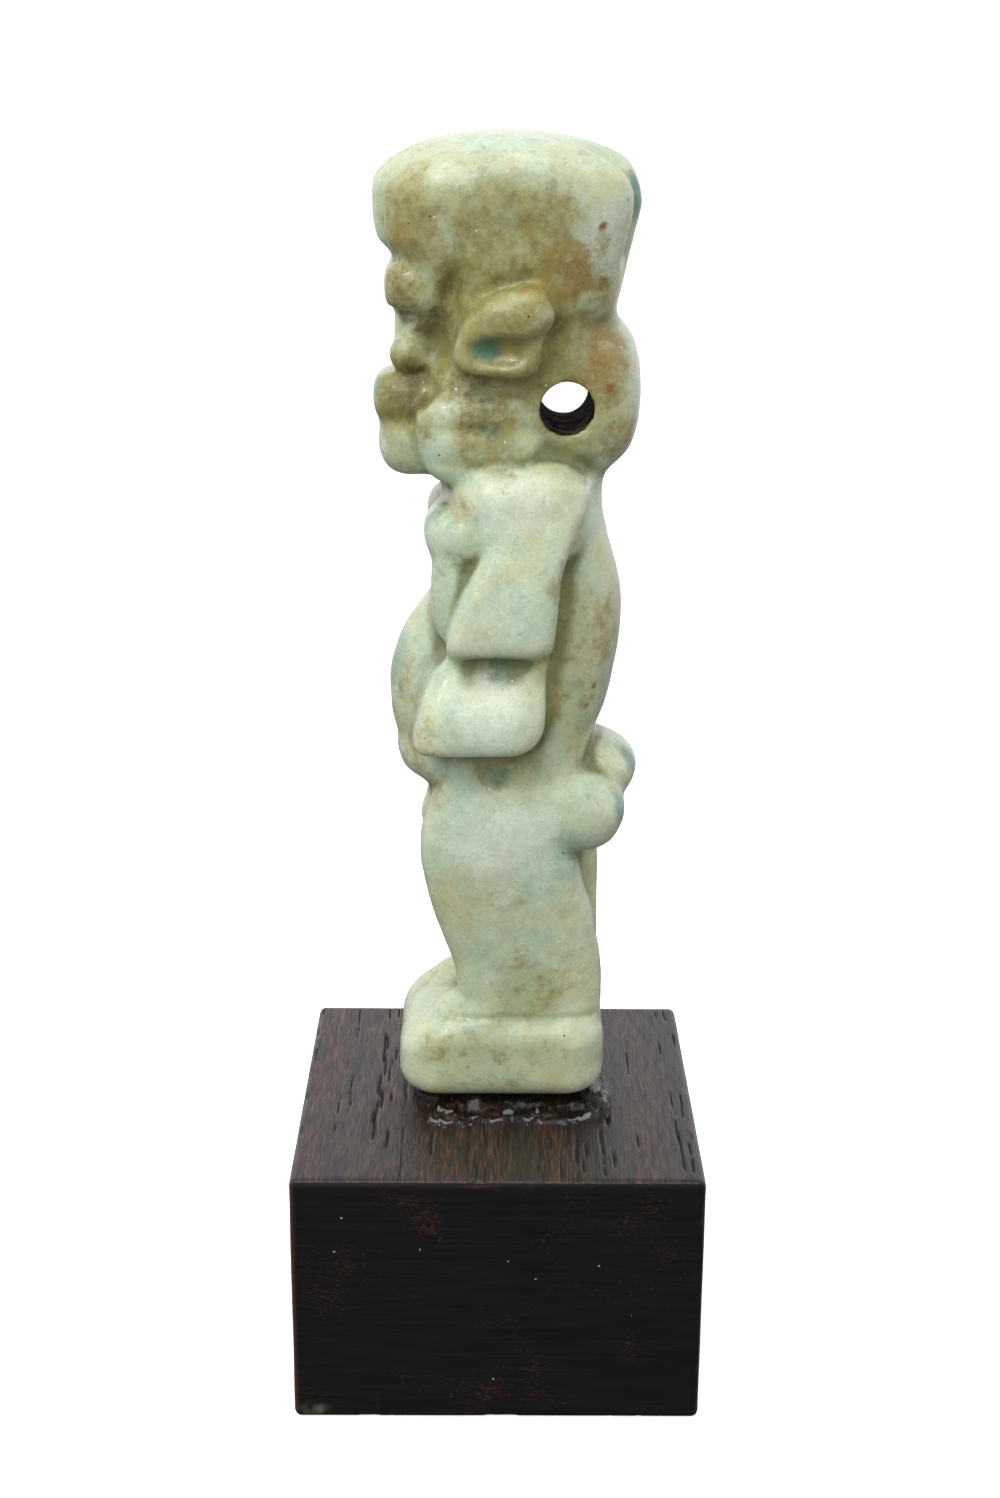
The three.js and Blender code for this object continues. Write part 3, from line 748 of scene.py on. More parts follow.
@dataclass
class Amulet:
    """The faience figure: a worn skin over its carved form, with the stains of long burial, painted shade in its
    creases and painted highlight on its top-lit parts.
    """

    figure: Figure = field(default_factory=Figure)
    finish: MouldedFaience = MouldedFaience()
    bore_finish: ShadedGrimyBore = ShadedGrimyBore()
    grid_low: Point = (-7.4, -6.9, -0.4)
    grid_high: Point = (7.4, 7.3, 45.7)
    step: float = 0.165
    wear: float = 0.11
    crease_reach: float = 0.65
    crease_full: float = 0.12
    ridge_from: float = 0.06
    ridge_span: float = 0.2
    # Length, seed and height of each set of waves.
    relief: Rows = ((4.0, 11, 0.05), (1.6, 12, 0.04), (0.6, 13, 0.016))
    stain_edge: Rows = ((1.1, 5, 1.0), (0.45, 6, 0.5))
    foot_waves: Rows = ((1.5, 19, 0.05),)
    # Level, half-width and depth of the groove.
    foot_line: Point = (4.22, 0.12, 0.13)
    foot_sides: Pair = (2.6, 3.2)
    bore_clear: Pair = (0.05, 0.4)
    base_clear: Pair = (0.1, 0.8)
    bore_rim: float = -0.08
    spots: dict[Stain, dict[str, Spot]] = field(default_factory=lambda: {
        Stain.TEAL: {
            "ear_pool": Spot((5.24, -0.69, 36.22), 0.85, 0.9),
            "crown_back_edge": Spot((2.3, 6.1, 42.5), 1.3, 0.9, 1.5),
            "tail_root_edge": Spot((1.2, 6.2, 16.6), 1.2, 0.9),
            "buttock_edge": Spot((2.9, 5.7, 14.9), 1.1, 0.8),
            "belly_edge": Spot((0.9, -4.8, 21.4), 1.3, 0.7, 1.8),
            "breast_edge": Spot((3.9, -3.3, 28.7), 0.8, 0.7),
            "muzzle_edge": Spot((1.5, -5.55, 34), 0.8, 0.7),
            "lip": Spot((0.9, -5.4, 32.75), 0.7, 0.6),
            "under_forearm": Spot((4.2, 0, 16.7), 1.1, 0.55),
            "elbow_fold": Spot((5.3, 0, 21.88), 0.8, 0.5),
            "mane_groove_high": Spot((4, -0.8, 33.9), 0.9, 0.4),
            "mane_groove_low": Spot((4.3, -0.4, 32.4), 0.9, 0.4),
        },
        # Paler glaze; on the crown's top, the shoulder, the arms, the thigh and the nose it is partly painted
        # highlight where the top light falls.
        Stain.PALE: {
            "by_hole": Spot((3.2, 4.75, 34.1), 0.9),
            "shoulder": Spot((5, 0.8, 29.5), 2.6, 0.8),
            "forearm": Spot((6, -0.5, 20), 2.6, 0.8),
            "upper_arm": Spot((6, 0.2, 24.6), 2.2, 0.5),
            "thigh": Spot((4.4, 0.2, 13.5), 3.4),
            "crown_top": Spot((2, 0.5, 45.2), 4, 0.6),
            "crown_back": Spot((4.4, 4.6, 40.8), 1.8, 0.9, 1.5),
            "ear_lower_rim": Spot((5.5, -0.4, 35.1), 1, 0.5),
            "nose": Spot((2.5, -4.4, 35.7), 0.8, 0.5),
        },
        Stain.OLIVE: {
            "head_olive": Spot((4, 0, 36.5), 6.5, 1.05),
            "crown_olive": Spot((5, 0.2, 40.6), 5.2, 0.88),
            "crown_front_olive": Spot((4.2, -4.6, 41.2), 3.4, 0.95),
            "over_ear": Spot((4.6, 0.6, 39.6), 2.2, 1, 0.6),
            "mane_olive": Spot((3.5, 3.2, 34), 3.4),
            "mane_side": Spot((4.2, -0.6, 32.8), 3, 1.05),
            "face_olive": Spot((2, -4.3, 33.8), 3.6),
            "muzzle_olive": Spot((2.4, -4.3, 33.8), 2.1, 1.8),
            "beard_olive": Spot((2.4, -4.3, 31.6), 2, 0.5),
            "forehead_olive": Spot((3.3, -4.5, 38.3), 2.8),
            "forearm_olive": Spot((4.2, -0.2, 16.8), 1.5, 0.8),
            "side_olive": Spot((4.1, 3, 22), 3.4, 0.55, 1.7),
            "hip_olive": Spot((4, 1, 17), 2.2, 0.5),
            "ankle_olive": Spot((3.7, 1.5, 5.5), 2.6, 0.7),
            "plinth_olive": Spot((4.1, 0.2, 2.2), 5, 0.5),
            "far_olive": Spot((-4, 0.5, 37), 7, 0.8),
            "back_olive": Spot((0, 5.5, 24), 5.5, 0.55),
            "plinth_left": Spot((4.1, -3.2, 2.8), 1.5, 0.7),
            "plinth_middle": Spot((4.1, -0.1, 2.8), 1, 0.6),
            "plinth_right": Spot((4.1, 1.6, 2.7), 0.9, 0.6),
        },
        Stain.PATINA: {
            "crown_middle": Spot((4.9, 2.2, 41.4), 3, 0.58),
            "crown_side": Spot((5, -0.4, 41), 2.6, 0.55),
            "crown_front": Spot((4.5, -3.5, 40.6), 2.6, 0.85),
            "crown_low": Spot((4.6, 2.6, 39.5), 2.8, 1.25),
            "forehead": Spot((3.2, -4.5, 38.8), 2, 0.9),
            "ear_rim": Spot((6, 0.8, 38.1), 2.2, 0.65),
            "behind_ear": Spot((4.1, 3, 37.6), 1.9, 0.75),
            "back_mane": Spot((2.9, 4.6, 35.8), 2.6, 1.3),
            "back_mane_low": Spot((2.6, 5.4, 31.8), 2.4),
            "beard": Spot((2.2, -4.6, 31.9), 1.6, 0.6),
            "hand": Spot((5.9, -3.3, 19.1), 1.5, 0.95),
            "belly_low": Spot((2.9, -4, 17.1), 1.6),
            "belly_side": Spot((2.7, -4.5, 20.3), 1.7, 0.9, 1.7),
            "neck_side": Spot((4.4, -1.7, 28.9), 1.5, 0.7),
            "groin": Spot((3.4, -3.2, 15.4), 1.3),
            "torso_back": Spot((3.4, 4.8, 22.6), 1.3, 1, 2.4),
            "arm_back": Spot((5.4, 2.3, 25.8), 1, 0.85, 2),
            "knee": Spot((4.4, 0.6, 10.6), 1.4, 0.75),
            "shoulder_fleck": Spot((4.6, 0.5, 30.1), 0.9, 0.9),
            "calf": Spot((3.8, 1, 7.3), 1.2, 0.8),
            "heel": Spot((3.6, 2.9, 5.9), 1.5, 0.6),
            "foot_line": Spot((3.7, -0.7, 4.22), 3.4, 0.9, 0.05),
            "far_foot": Spot((-1.3, -3.6, 3.7), 2.2, 0.6),
            "low_back": Spot((3.3, 4.4, 20.5), 1.4, 0.6),
            "far_crown": Spot((-4.8, 1, 41), 3.6, 0.8),
            "far_mane": Spot((-3, 4, 34.5), 3, 0.8),
            "far_hip": Spot((-4, 2, 14), 2.4, 0.5),
            "front_belly": Spot((-1, -5, 18.5), 2.2, 0.4),
        },
        Stain.DIRT: {
            "armpit": Spot((4.7, -1.9, 26.6), 1.2, 0.35),
            "armpit_front": Spot((4.6, -2.6, 26.3), 0.8, 0.3),
            "temple": Spot((3.55, -2.5, 38.4), 1, 0.5),
            "temple_low": Spot((3.4, -2.75, 37.3), 1, 0.75),
            "cheek": Spot((2.7, -3.3, 36.5), 1, 0.8),
            "by_muzzle": Spot((2, -3.7, 34.6), 1.2, 0.85),
            "by_beard": Spot((2.6, -3.7, 33.3), 1, 0.85, 1.4),
            "under_ear": Spot((3.9, -1.6, 34.3), 1.1, 0.6),
            "muzzle": Spot((2.4, -4.3, 33.7), 1.5, 0.5),
            "brow": Spot((3.4, -4.3, 38.3), 1.6, 0.45),
            "mane_side_grime": Spot((4.2, -0.8, 33.3), 1.9, 0.5),
            "under_crown": Spot((4.5, 0.5, 39.1), 1.5, 0.7, 0.5),
            "behind_ear_low": Spot((3.9, 2.1, 37), 1.1, 0.7),
            "elbow": Spot((5.25, -0.3, 22), 0.8, 0.4),
            "far_armpit": Spot((-4.2, -2, 26.8), 1.2, 0.6),
            "far_cheek": Spot((-2.9, -3.2, 35.8), 1.4, 0.7),
        },
        Stain.RUST: {
            "rust_crown": Spot((4.45, 4.3, 41.2), 0.32, 0.9),
            "rust_mane": Spot((3.8, 4.35, 38.8), 0.5, 0.8),
            "rust_mane_wide": Spot((3, 4.7, 35.7), 2, 0.42),
            "rust_crown_wide": Spot((4.3, 3.6, 39.4), 2, 0.36),
            "rust_hole": Spot((3.2, 4.75, 34.2), 0.3, 0.9),
            "rust_back": Spot((3.4, 4.3, 20.7), 0.28, 0.9),
            "rust_back_low": Spot((3.5, 4, 19.8), 0.25, 0.9),
        },
    })

    def raised(self, points: Array) -> Array:
        """Work out the low relief, with a groove along the foot line, none by the hole and none at the base.

        Args:
            points: Skin corners in millimetres.

        Returns:
            The rise of each corner.
        """
        level, tall, deep = self.foot_line
        line = np.exp(-((points[:, 2] - level - mixed_waves(points, self.foot_waves)) / tall) ** 2)
        cut = deep * line * eased(np.abs(points[:, 0]), *self.foot_sides)
        bare = eased(-self.figure.bore(points[:, 1], points[:, 2]), *self.bore_clear)
        return (mixed_waves(points, self.relief) - cut) * bare * eased(points[:, 2], *self.base_clear)

    def marks(self, points: Array, grid: FormGrid, form: Array) -> dict[str, Array]:
        """Work out where creases (darkened as pooled glaze and painted shade), worn ridges and stains lie.

        Args:
            points: Skin corners in millimetres.
            grid: The grid that holds the form.
            form: Distances at the grid points.

        Returns:
            A value for each corner under each mark's name.
        """
        bend = grid.read(grid.softened(form, self.crease_reach), points)
        edge = mixed_waves(points, self.stain_edge)
        # The hollow mark carries pooled glaze and painted shade in creases and under overhangs.
        hollow, ridge = -bend / self.crease_full, (bend - self.ridge_from) / self.ridge_span
        marks = {"hollow": np.clip(hollow, 0, 1), "ridge": np.clip(ridge, 0, 1)}
        for stain, spots in self.spots.items():
            marks[stain.value] = np.max([spot.cover(points, edge) for spot in spots.values()], axis=0)
        return marks

    def build(self) -> Object:
        """Build the figure's skin, marks and finish.

        Returns:
            The amulet.
        """
        low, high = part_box("amulet")
        stand = np.array(((low.x + high.x) / 2, 0, low.z)) / MM
        grid = FormGrid(self.grid_low, self.grid_high, self.step)
        form = grid.softened(grid.sampled(self.figure), self.wear)
        hole = self.figure.bore(*np.meshgrid(*grid.axes[1:], indexing="ij"))
        pierced = np.maximum(form, hole[None].astype(np.float32))
        points, faces = grid.skin(pierced)
        marks = self.marks(points, grid, form)
        points = points + grid.normal(pierced, points) * self.raised(points)[:, None]
        bored = self.figure.bore(points[:, 1], points[:, 2])[faces].min(axis=1) > self.bore_rim
        finishes = [self.finish.material(), self.bore_finish.material()]
        return new_piece("faience_amulet", points + stand, faces.tolist(), marks, finishes, bored)


@dataclass(frozen=True)
class RubbedHardwood:
    """Dense dark hardwood along its grain, planed and rubbed by handling."""

    dark: str = "#0f0d0d"
    brown: str = "#332823"
    red: str = "#7d3d1c"
    worn: str = "#6b3a22"
    fibre: float = 0.1
    streak: float = 0.5
    vessel: float = 0.16
    vessel_dark: str = "#070505"
    pore_dark: str = "#040303"
    drawn_out: float = 0.07

    def material(self) -> Material:
        """Make the banded wood with its fibres and dark pores.

        Returns:
            The material.
        """
        # Rubbed dense hardwood: a satin skin that greys where it mirrors the room, red bands, fibres, open pores.
        material, tree, place = new_material("rubbed_dark_hardwood")
        along = add_node(tree, "Mapping", {"Vector": place, "Scale": (self.drawn_out, 1.0, 1.0)})
        fibre, streak, thin = (
            add_node(tree, "TexNoise", {
                "Vector": along, "Scale": 1 / (size * MM), "Detail": detail, "Roughness": 0.65})
            for size, detail in ((self.fibre, 4.0), (self.streak, 4.0), (self.vessel, 1.0)))
        red, pore, rub = (
            add_node(tree, "Attribute", attribute_name=name).outputs["Fac"] for name in ("red", "pore", "rub"))
        brown = add_node(tree, "MapRange", {"Value": streak, "From Min": 0.36, "From Max": 0.66})
        lit = add_node(tree, "MapRange", {"Value": fibre, "From Min": 0.48, "From Max": 0.72})
        glow = add_node(tree, "Math", {0: red, 1: lit}, operation="MULTIPLY", use_clamp=True)
        colour = linear(self.dark)
        for share, hue in ((brown, self.brown), (glow, self.red)):
            colour = add_node(tree, "Mix", {0: share, 6: colour, 7: linear(hue)}, data_type="RGBA")
        thread = add_node(tree, "MapRange", {"Value": fibre, **NOISE_SPAN, "To Min": 0.3, "To Max": 1.4})
        colour = add_node(tree, "VectorMath", {0: colour, "Scale": thread}, operation="SCALE")
        vessel = add_node(tree, "MapRange", {"Value": thin, "From Min": 0.6, "From Max": 0.68, "To Max": 0.85})
        layers = [(rub, self.worn), (vessel, self.vessel_dark), (pore, self.pore_dark)]
        worn = add_node(tree, "MapRange", {"Value": fibre, **NOISE_SPAN, "To Min": 0.46, "To Max": 0.13})
        rough = add_node(tree, "Math", {0: worn, 1: pore}, operation="MAXIMUM")
        return closed(material, colour, layers, (fibre, 0.7, 0.05), {"Roughness": rough, "IOR": 1.5})


@dataclass(frozen=True)
class SawnEndGrain:
    """The same hardwood cut across its grain and left from the saw."""

    end: str = "#0d0c0d"
    fleck: str = "#3a2214"
    worn: str = "#6b3a22"
    saw_line: float = 0.16
    flake: float = 0.1
    flake_area: float = 3.0
    dust: float = 0.05
    dust_gap: float = 1.5
    dust_grey: str = "#a8a399"
    fluff_grey: str = "#5f5e4c"

    def material(self) -> Material:
        """Make the near-black sawn face with saw lines, red flecks and dust.

        Returns:
            The material.
        """
        # Sawn end grain: near black and dull, with level saw lines, a few red-brown flecks and white dust.
        material, tree, place = new_material("sawn_hardwood_end_grain")
        level, drawn = (
            add_node(tree, "Mapping", {"Vector": place, "Scale": (1.0, share, 1.0)}) for share in (0.04, 0.4))
        saw, flake, area = (
            add_node(tree, "TexNoise", {"Vector": spread, "Scale": 1 / (size * MM), "Detail": 4.0})
            for spread, size in ((level, self.saw_line), (drawn, self.flake), (place, self.flake_area)))
        rub, fluff = (
            add_node(tree, "Attribute", attribute_name=name).outputs["Fac"] for name in ("rub", "fluff"))
        thread = add_node(tree, "MapRange", {"Value": saw, **NOISE_SPAN, "To Min": 0.4, "To Max": 1.8})
        colour = add_node(tree, "VectorMath", {0: linear(self.end)[:3], "Scale": thread}, operation="SCALE")
        both = add_node(tree, "Math", {0: flake, 1: area}, operation="MULTIPLY")
        red = add_node(tree, "MapRange", {"Value": both, "From Min": 0.345, "From Max": 0.45})
        cells = add_node(tree, "TexVoronoi", {"Vector": place, "Scale": 1 / (self.dust_gap * MM)})
        dust = add_node(tree, "Math", {0: cells, 1: self.dust / self.dust_gap}, operation="LESS_THAN")
        layers = [(red, self.fleck), (rub, self.worn), (dust, self.dust_grey), (fluff, self.fluff_grey)]
        return closed(material, colour, layers, (saw, 0.4, 0.05), {"Roughness": 0.65, "Specular IOR Level": 0.2})


@dataclass
class WoodBlock:
    """The display block: a sawn box with rounded edges, open pores on top and worn corners."""

    along: RubbedHardwood = RubbedHardwood()
    across: SawnEndGrain = SawnEndGrain()
    edge: float = 0.35
    steps: Point = (0.25, 0.08, 0.25)
    rim_lines: tuple[float, ...] = (0.0, 0.12, 0.35, 0.65)
    pore_lines: int = 34
    pores_in_line: int = 4
    pore_across: float = 9.3
    pore_along: float = 9.5
    pore_lean: float = 0.02
    pore_width: Pair = (0.03, 0.055)
    pore_length: Pair = (0.3, 1.5)
    pore_depth: float = 0.14
    pore_full: float = 0.7
    pore_shade: float = 1.3
    # Width of a line's sway, its turn for each millimetre, and its shift from line to line.
    pore_sway: Point = (0.02, 2.2, 9.0)
    # By how squarely a place faces one way: where a face is flat, stands upright, or is end grain.
    flat_face: Pair = (0.8, 1.0)
    upright_face: Pair = (0.3, 0.6)
    end_face: float = 0.7
    # Length, seed and height of each set of waves.
    nick_waves: Rows = ((0.9, 3, 1.0), (0.35, 4, 0.6))
    face_waves: Rows = ((2.5, 8, 0.015),)
    band_waves: Rows = ((0.7, 10, 0.3),)
    fluff_waves: Rows = ((0.25, 9, 1.0),)
    nick_from: float = 0.35
    nick_depth: float = 0.22
    face_sink: float = 0.015
    rub_least: float = 0.4
    rub_share: float = 0.8
    band_stretch: Point = (0.2, 1.0, 1.0)
    # Y, width and strength of each band.
    red_bands: Rows = (
        (-8.4, 0.9, 0.6), (-5.6, 1, 0.4), (-2.6, 1.3, 0.6), (-0.3, 0.9, 0.5), (2.7, 0.75, 0.75), (7, 0.8, 0.4))
    fluff_in: Point = (0.0, 0.9, 0.5)
    fluff_size: Point = (1.0, 1.0, 0.45)
    fluff_fade: Pair = (0.4, 1.0)
    fluff_least: float = 0.6
    seed: int = 21

    def lines(self, half: float, step: float) -> Array:
        """Space the mesh lines along one axis, closer over the rounded edges.

        Args:
            half: Half of the block's side.
            step: Spacing of the lines.

        Returns:
            Positions from -half to half.
        """
        rim = half - self.edge * np.array(self.rim_lines)
        flat = half - self.edge
        inner = np.linspace(-flat, flat, int(round(2 * flat / step)) + 1)
        return np.concatenate((-rim, inner, rim[::-1]))

    def shell(self, half: Array) -> tuple[Array, Array]:
        """Make the box's skin of welded grids.

        Args:
            half: Half-sizes of the block.

        Returns:
            Corners about the block's middle, and faces.
        """
        axes = [self.lines(h, s) for h, s in zip(half, self.steps)]
        points, faces, start = [], [], 0
        for axis in range(3):
            u, v = (axis + 1) % 3, (axis + 2) % 3
            gu, gv = np.meshgrid(axes[u], axes[v], indexing="ij")
            index = np.arange(gu.size).reshape(gu.shape)
            quads = [index[:-1, :-1], index[1:, :-1], index[1:, 1:], index[:-1, 1:]]
            quads = np.stack(quads, axis=-1).reshape(-1, 4)
            for sign in (-1, 1):
                side = np.zeros((gu.size, 3))
                side[:, u], side[:, v], side[:, axis] = gu.ravel(), gv.ravel(), sign * half[axis]
                points.append(side)
                faces.append((quads if sign > 0 else quads[:, ::-1]) + start)
                start += gu.size
        merged, number = np.unique(np.round(np.concatenate(points), 5), axis=0, return_inverse=True)
        return merged, number.reshape(-1)[np.concatenate(faces)]

    def pore_cuts(self, points: Array) -> Array:
        """Give how deep the pores cut at each place of the top, from 0 to 1.

        Args:
            points: Corners about the block's middle.

        Returns:
            The cut at each corner.
        """
        dice = np.random.default_rng(self.seed)
        cut = np.zeros(len(points))
        for line in dice.uniform(-self.pore_across, self.pore_across, self.pore_lines):
            lean, width = dice.uniform(-self.pore_lean, self.pore_lean), dice.uniform(*self.pore_width)
            starts = dice.uniform(-self.pore_along, self.pore_along, self.pores_in_line)
            sway, turn, shift = self.pore_sway
            bend = sway * np.sin(turn * points[:, 0] + shift * line)
            away = np.abs(points[:, 1] - line - lean * points[:, 0] - bend) / width
            for x, length in zip(starts, dice.uniform(*self.pore_length, self.pores_in_line)):
                ends = 1 - eased(np.abs(points[:, 0] - x), self.pore_full * length, length)
                cut = np.maximum(cut, np.exp(-away ** 2) * ends)
        return cut

    def build(self) -> Object:
        """Build the block and dress it.

        Returns:
            The block.
        """
        low, high = (np.array(corner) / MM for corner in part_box("wood_block"))
        half, middle = (high - low) / 2, (high + low) / 2
        points, faces = self.shell(half)
        core = np.clip(points, self.edge - half, half - self.edge)
        normal = points - core
        normal /= np.linalg.norm(normal, axis=1)[:, None]
        points = core + normal * self.edge
        corner = 1 - eased(np.max(np.abs(normal), axis=1), *self.flat_face)
        pore = self.pore_cuts(points) * eased(normal[:, 2], *self.flat_face)
        nick = np.clip(mixed_waves(points, self.nick_waves) - self.nick_from, 0, 1)
        sink = self.pore_depth * pore + self.nick_depth * corner * nick
        sink += mixed_waves(points, self.face_waves) + self.face_sink
        upright = (1 - eased(np.abs(normal[:, 2]), *self.upright_face)) * corner * (points[:, 1] < 0)
        nest = np.array(self.fluff_in) + (half[0], -half[1], -half[2])
        patch = np.linalg.norm((points - nest) / self.fluff_size, axis=1)
        ragged = points[:, 1] + mixed_waves(points * self.band_stretch, self.band_waves)
        red = sum(share * np.exp(-((ragged - y) / wide) ** 2) for y, wide, share in self.red_bands)
        marks = {
            "pore": np.clip(self.pore_shade * pore, 0, 1), "red": np.clip(red, 0, 1),
            "rub": np.clip(upright * (self.rub_least + nick), 0, 1) * self.rub_share,
            "fluff": (1 - eased(patch, *self.fluff_fade))
            * np.clip(self.fluff_least + mixed_waves(points, self.fluff_waves), 0, 1),
        }
        ends = np.abs(normal[faces, 0]).mean(axis=1) > self.end_face
        finishes = [self.along.material(), self.across.material()]
        points = points - normal * sink[:, None] + middle
        return new_piece("hardwood_block", points, faces.tolist(), marks, finishes, ends)


class GlueLook(Enum):
    """How a stretch of the dried glue looks."""

    CLEAR = 0
    CLOUD_AND_GLINT = 1


@dataclass(frozen=True)
class DriedGlue:
    """Clear household glue, dried to a crinkled film, with a whiter look for its cloudy flakes and for painted
    highlights along its creases, lip and lump.
    """

    body: str = "#f2efe8"
    # Colour of the cloudy flakes and of the painted highlights on creases, lip and lump.
    cloud_and_glint: str = "#bdbcb8"
    tan: str = "#b8945c"
    ripple: float = 0.3

    def material(self, look: GlueLook) -> Material:
        """Make one look of the glue.

        Args:
            look: Clear film, or the whiter glue of cloudy flakes and painted highlights.

        Returns:
            The material.
        """
        # Dried clear glue: see-through and shiny, so the wood shows under it; the whiter look is cloudy glue in
        # the flakes and painted highlight on creases, lip and lump.
        clear = look is GlueLook.CLEAR
        material, tree, place = new_material("dried_clear_glue" if clear else "dried_cloud_and_glint_glue")
        tan = add_node(tree, "Attribute", attribute_name="tan").outputs["Fac"]
        body = linear(self.body if clear else self.cloud_and_glint)
        ripple = add_node(tree, "TexNoise", {"Vector": place, "Scale": 1 / (self.ripple * MM), "Detail": 3.0})
        return closed(material, body, [(tan, self.tan)], (ripple, 0.7, 0.06), {
            "Roughness": 0.1 if clear else 0.35, "IOR": 1.38, "Specular IOR Level": 0.3,
            "Transmission Weight": 1.0 if clear else 0.7})


@dataclass
class GlueFilm:
    """Glue pressed out under the plinth: a crinkled film, widest at the near side, with a lump and a bead."""

    plinth: Plinth = Plinth()
    finish: DriedGlue = DriedGlue()
    spokes: int = 420
    rings: int = 44
    # Direction in degrees, and how far the film runs past the plinth there.
    reach: Rows = (
        (-180, 0.25), (-120, 0.15), (-75, -0.7), (-38.5, -0.5), (-35.4, 0.5), (-32.7, 1), (-30.7, 1.4),
        (-12, 1.45), (0, 1.3), (14, 1.4), (28, 1.1), (40, 1.1), (48, 1.2), (54, 0.9), (62, 0.5), (90, 0.35),
        (125, 0.2), (180, 0.25))
    # X, Y, half-widths along them, and height.
    bead: tuple[float, ...] = (4.05, -0.95, 0.4, 0.6, 0.3)
    lump: tuple[float, ...] = (3.6, 4.9, 0.9, 0.45, 0.9)
    # Length, seed and height of each set of waves.
    fold_waves: Rows = ((1.1, 31, 1.0), (0.45, 32, 0.5))
    edge_waves: Rows = ((0.9, 33, 0.22), (0.3, 34, 0.12))
    patch_waves: Rows = ((0.5, 35, 1.0),)
    crest_waves: Rows = ((1.6, 36, 1.0),)
    # Distances from the plinth's outline: where the film comes free, and the place and width of its foot.
    free_film: Pair = (-0.7, 0.35)
    foot: Pair = (0.2, 0.22)
    # Shares of the way to the rim: crowding of the rings, place and width of the lip, and the thin shore.
    crowding: float = 1.6
    lip: Pair = (0.95, 0.02)
    shore: Pair = (0.97, 1.0)
    # How near to a fold's crest it rises, takes painted highlight, and takes painted highlight on the lump.
    crease: Pair = (0.7, 1.0)
    crest: Pair = (0.93, 0.99)
    lump_crest: Pair = (0.6, 0.9)
    # Where white flakes lie along the foot, and how fast they end.
    flakes: Pair = (0.0, 2.1)
    flake_end: float = 0.2
    # Least waves for white on flakes, lip and crests; how strong the painted highlight on lip and crests is; and
    # what takes the whiter look.
    white_from: Point = (-0.2, 0.15, 0.05)
    lip_glint: float = 0.9
    crest_glint: float = 0.8
    cloud_and_glint_from: float = 0.5
    # Nearest and farthest rim, tries between them, and the ring on which its waves are read.
    rim_search: tuple[float, float, int] = (2.0, 10.0, 400)
    rim_ring: float = 6.0
    film: float = 0.08
    pad: float = 0.5
    fold_height: float = 0.3
    fold_fade: float = 1.2
    lip_height: float = 0.1
    sunk: float = 0.02
    bedded: float = 0.08

    def mound(self, flat: Array, mound: tuple[float, ...]) -> Array:
        """Give a smooth mound, from 0 to 1, about its X and Y with its half-widths."""
        x, y, wide, long, _ = mound
        return np.exp(-(((flat[:, 0] - x) / wide) ** 2 + ((flat[:, 1] - y) / long) ** 2))

    def build(self) -> Object:
        """Build the film and dress it.

        Returns:
            The glue.
        """
        low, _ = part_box("glue")
        amulet_low, amulet_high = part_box("amulet")
        stand = np.array(((amulet_low.x + amulet_high.x) / 2, 0, low.z)) / MM
        turn = np.linspace(-np.pi, np.pi, self.spokes, endpoint=False)
        aim = np.stack([np.cos(turn), np.sin(turn)], axis=1)
        ring = 1 - np.linspace(1, 0, self.rings + 1)[1:] ** self.crowding
        flat = np.zeros((self.rings * self.spokes, 3))
        flat[:, :2] = (ring[:, None, None] * self.edge_reach(turn, aim)[None, :, None] * aim[None]).reshape(-1, 2)
        part = np.repeat(ring, self.spokes)
        outside = self.plinth.outline(flat[:, 0], flat[:, 1])
        open_film = eased(outside, *self.free_film)
        fold = 1 - np.abs(mixed_waves(flat, self.fold_waves))
        lip = np.exp(-((part - self.lip[0]) / self.lip[1]) ** 2)
        bead, lump = self.mound(flat, self.bead), self.mound(flat, self.lump)
        crease = self.fold_height * eased(fold, *self.crease) * np.exp(-np.maximum(outside, 0) / self.fold_fade)
        tall = self.pad * (1 - open_film) + open_film * (self.film + crease + self.lip_height * lip)
        tall += self.bead[-1] * bead + self.lump[-1] * lump * open_film
        tall = tall * (1 - eased(part, *self.shore)) - self.sunk
        rim = flat[-self.spokes:] - (0, 0, self.bedded)
        points = np.concatenate([flat + tall[:, None] * (0, 0, 1), rim, [(0, 0, self.pad), (0, 0, -self.bedded)]])
        spare = np.zeros(self.spokes + 2)
        cloud_and_glint = np.concatenate([open_film * self.cloud(flat, outside, fold, lip, lump), spare])
        faces = self.faces()
        white = [cloud_and_glint[face].mean() > self.cloud_and_glint_from for face in faces]
        looks = np.where(white, GlueLook.CLOUD_AND_GLINT.value, GlueLook.CLEAR.value)
        marks = {"tan": np.concatenate([bead, spare])}
        finishes = [self.finish.material(look) for look in GlueLook]
        return new_piece("glue_film", points + stand, faces, marks, finishes, looks)

    def cloud(self, flat: Array, outside: Array, fold: Array, lip: Array, lump: Array) -> Array:
        """Find where the film is whitened: painted highlight on its edge, folds and lump, and cloudy flakes at
        the plinth's foot.

        Args:
            flat: Places on the wood.
            outside: How far each lies outside the plinth.
            fold: How near each lies to a fold's crest, up to 1.
            lip: How near each lies to the film's rim.
            lump: How near each lies to the lump.

        Returns:
            How white each place is, from cloudy glue and painted highlight.
        """
        patch = mixed_waves(flat, self.patch_waves)
        on_flakes, on_lip, on_crests = self.white_from
        start, end = self.flakes
        flake = np.exp(-((outside - self.foot[0]) / self.foot[1]) ** 2) * (flat[:, 0] > 0) * (patch > on_flakes)
        flake *= eased(flat[:, 1], start, start + self.flake_end)
        flake *= 1 - eased(flat[:, 1], end - self.flake_end, end)
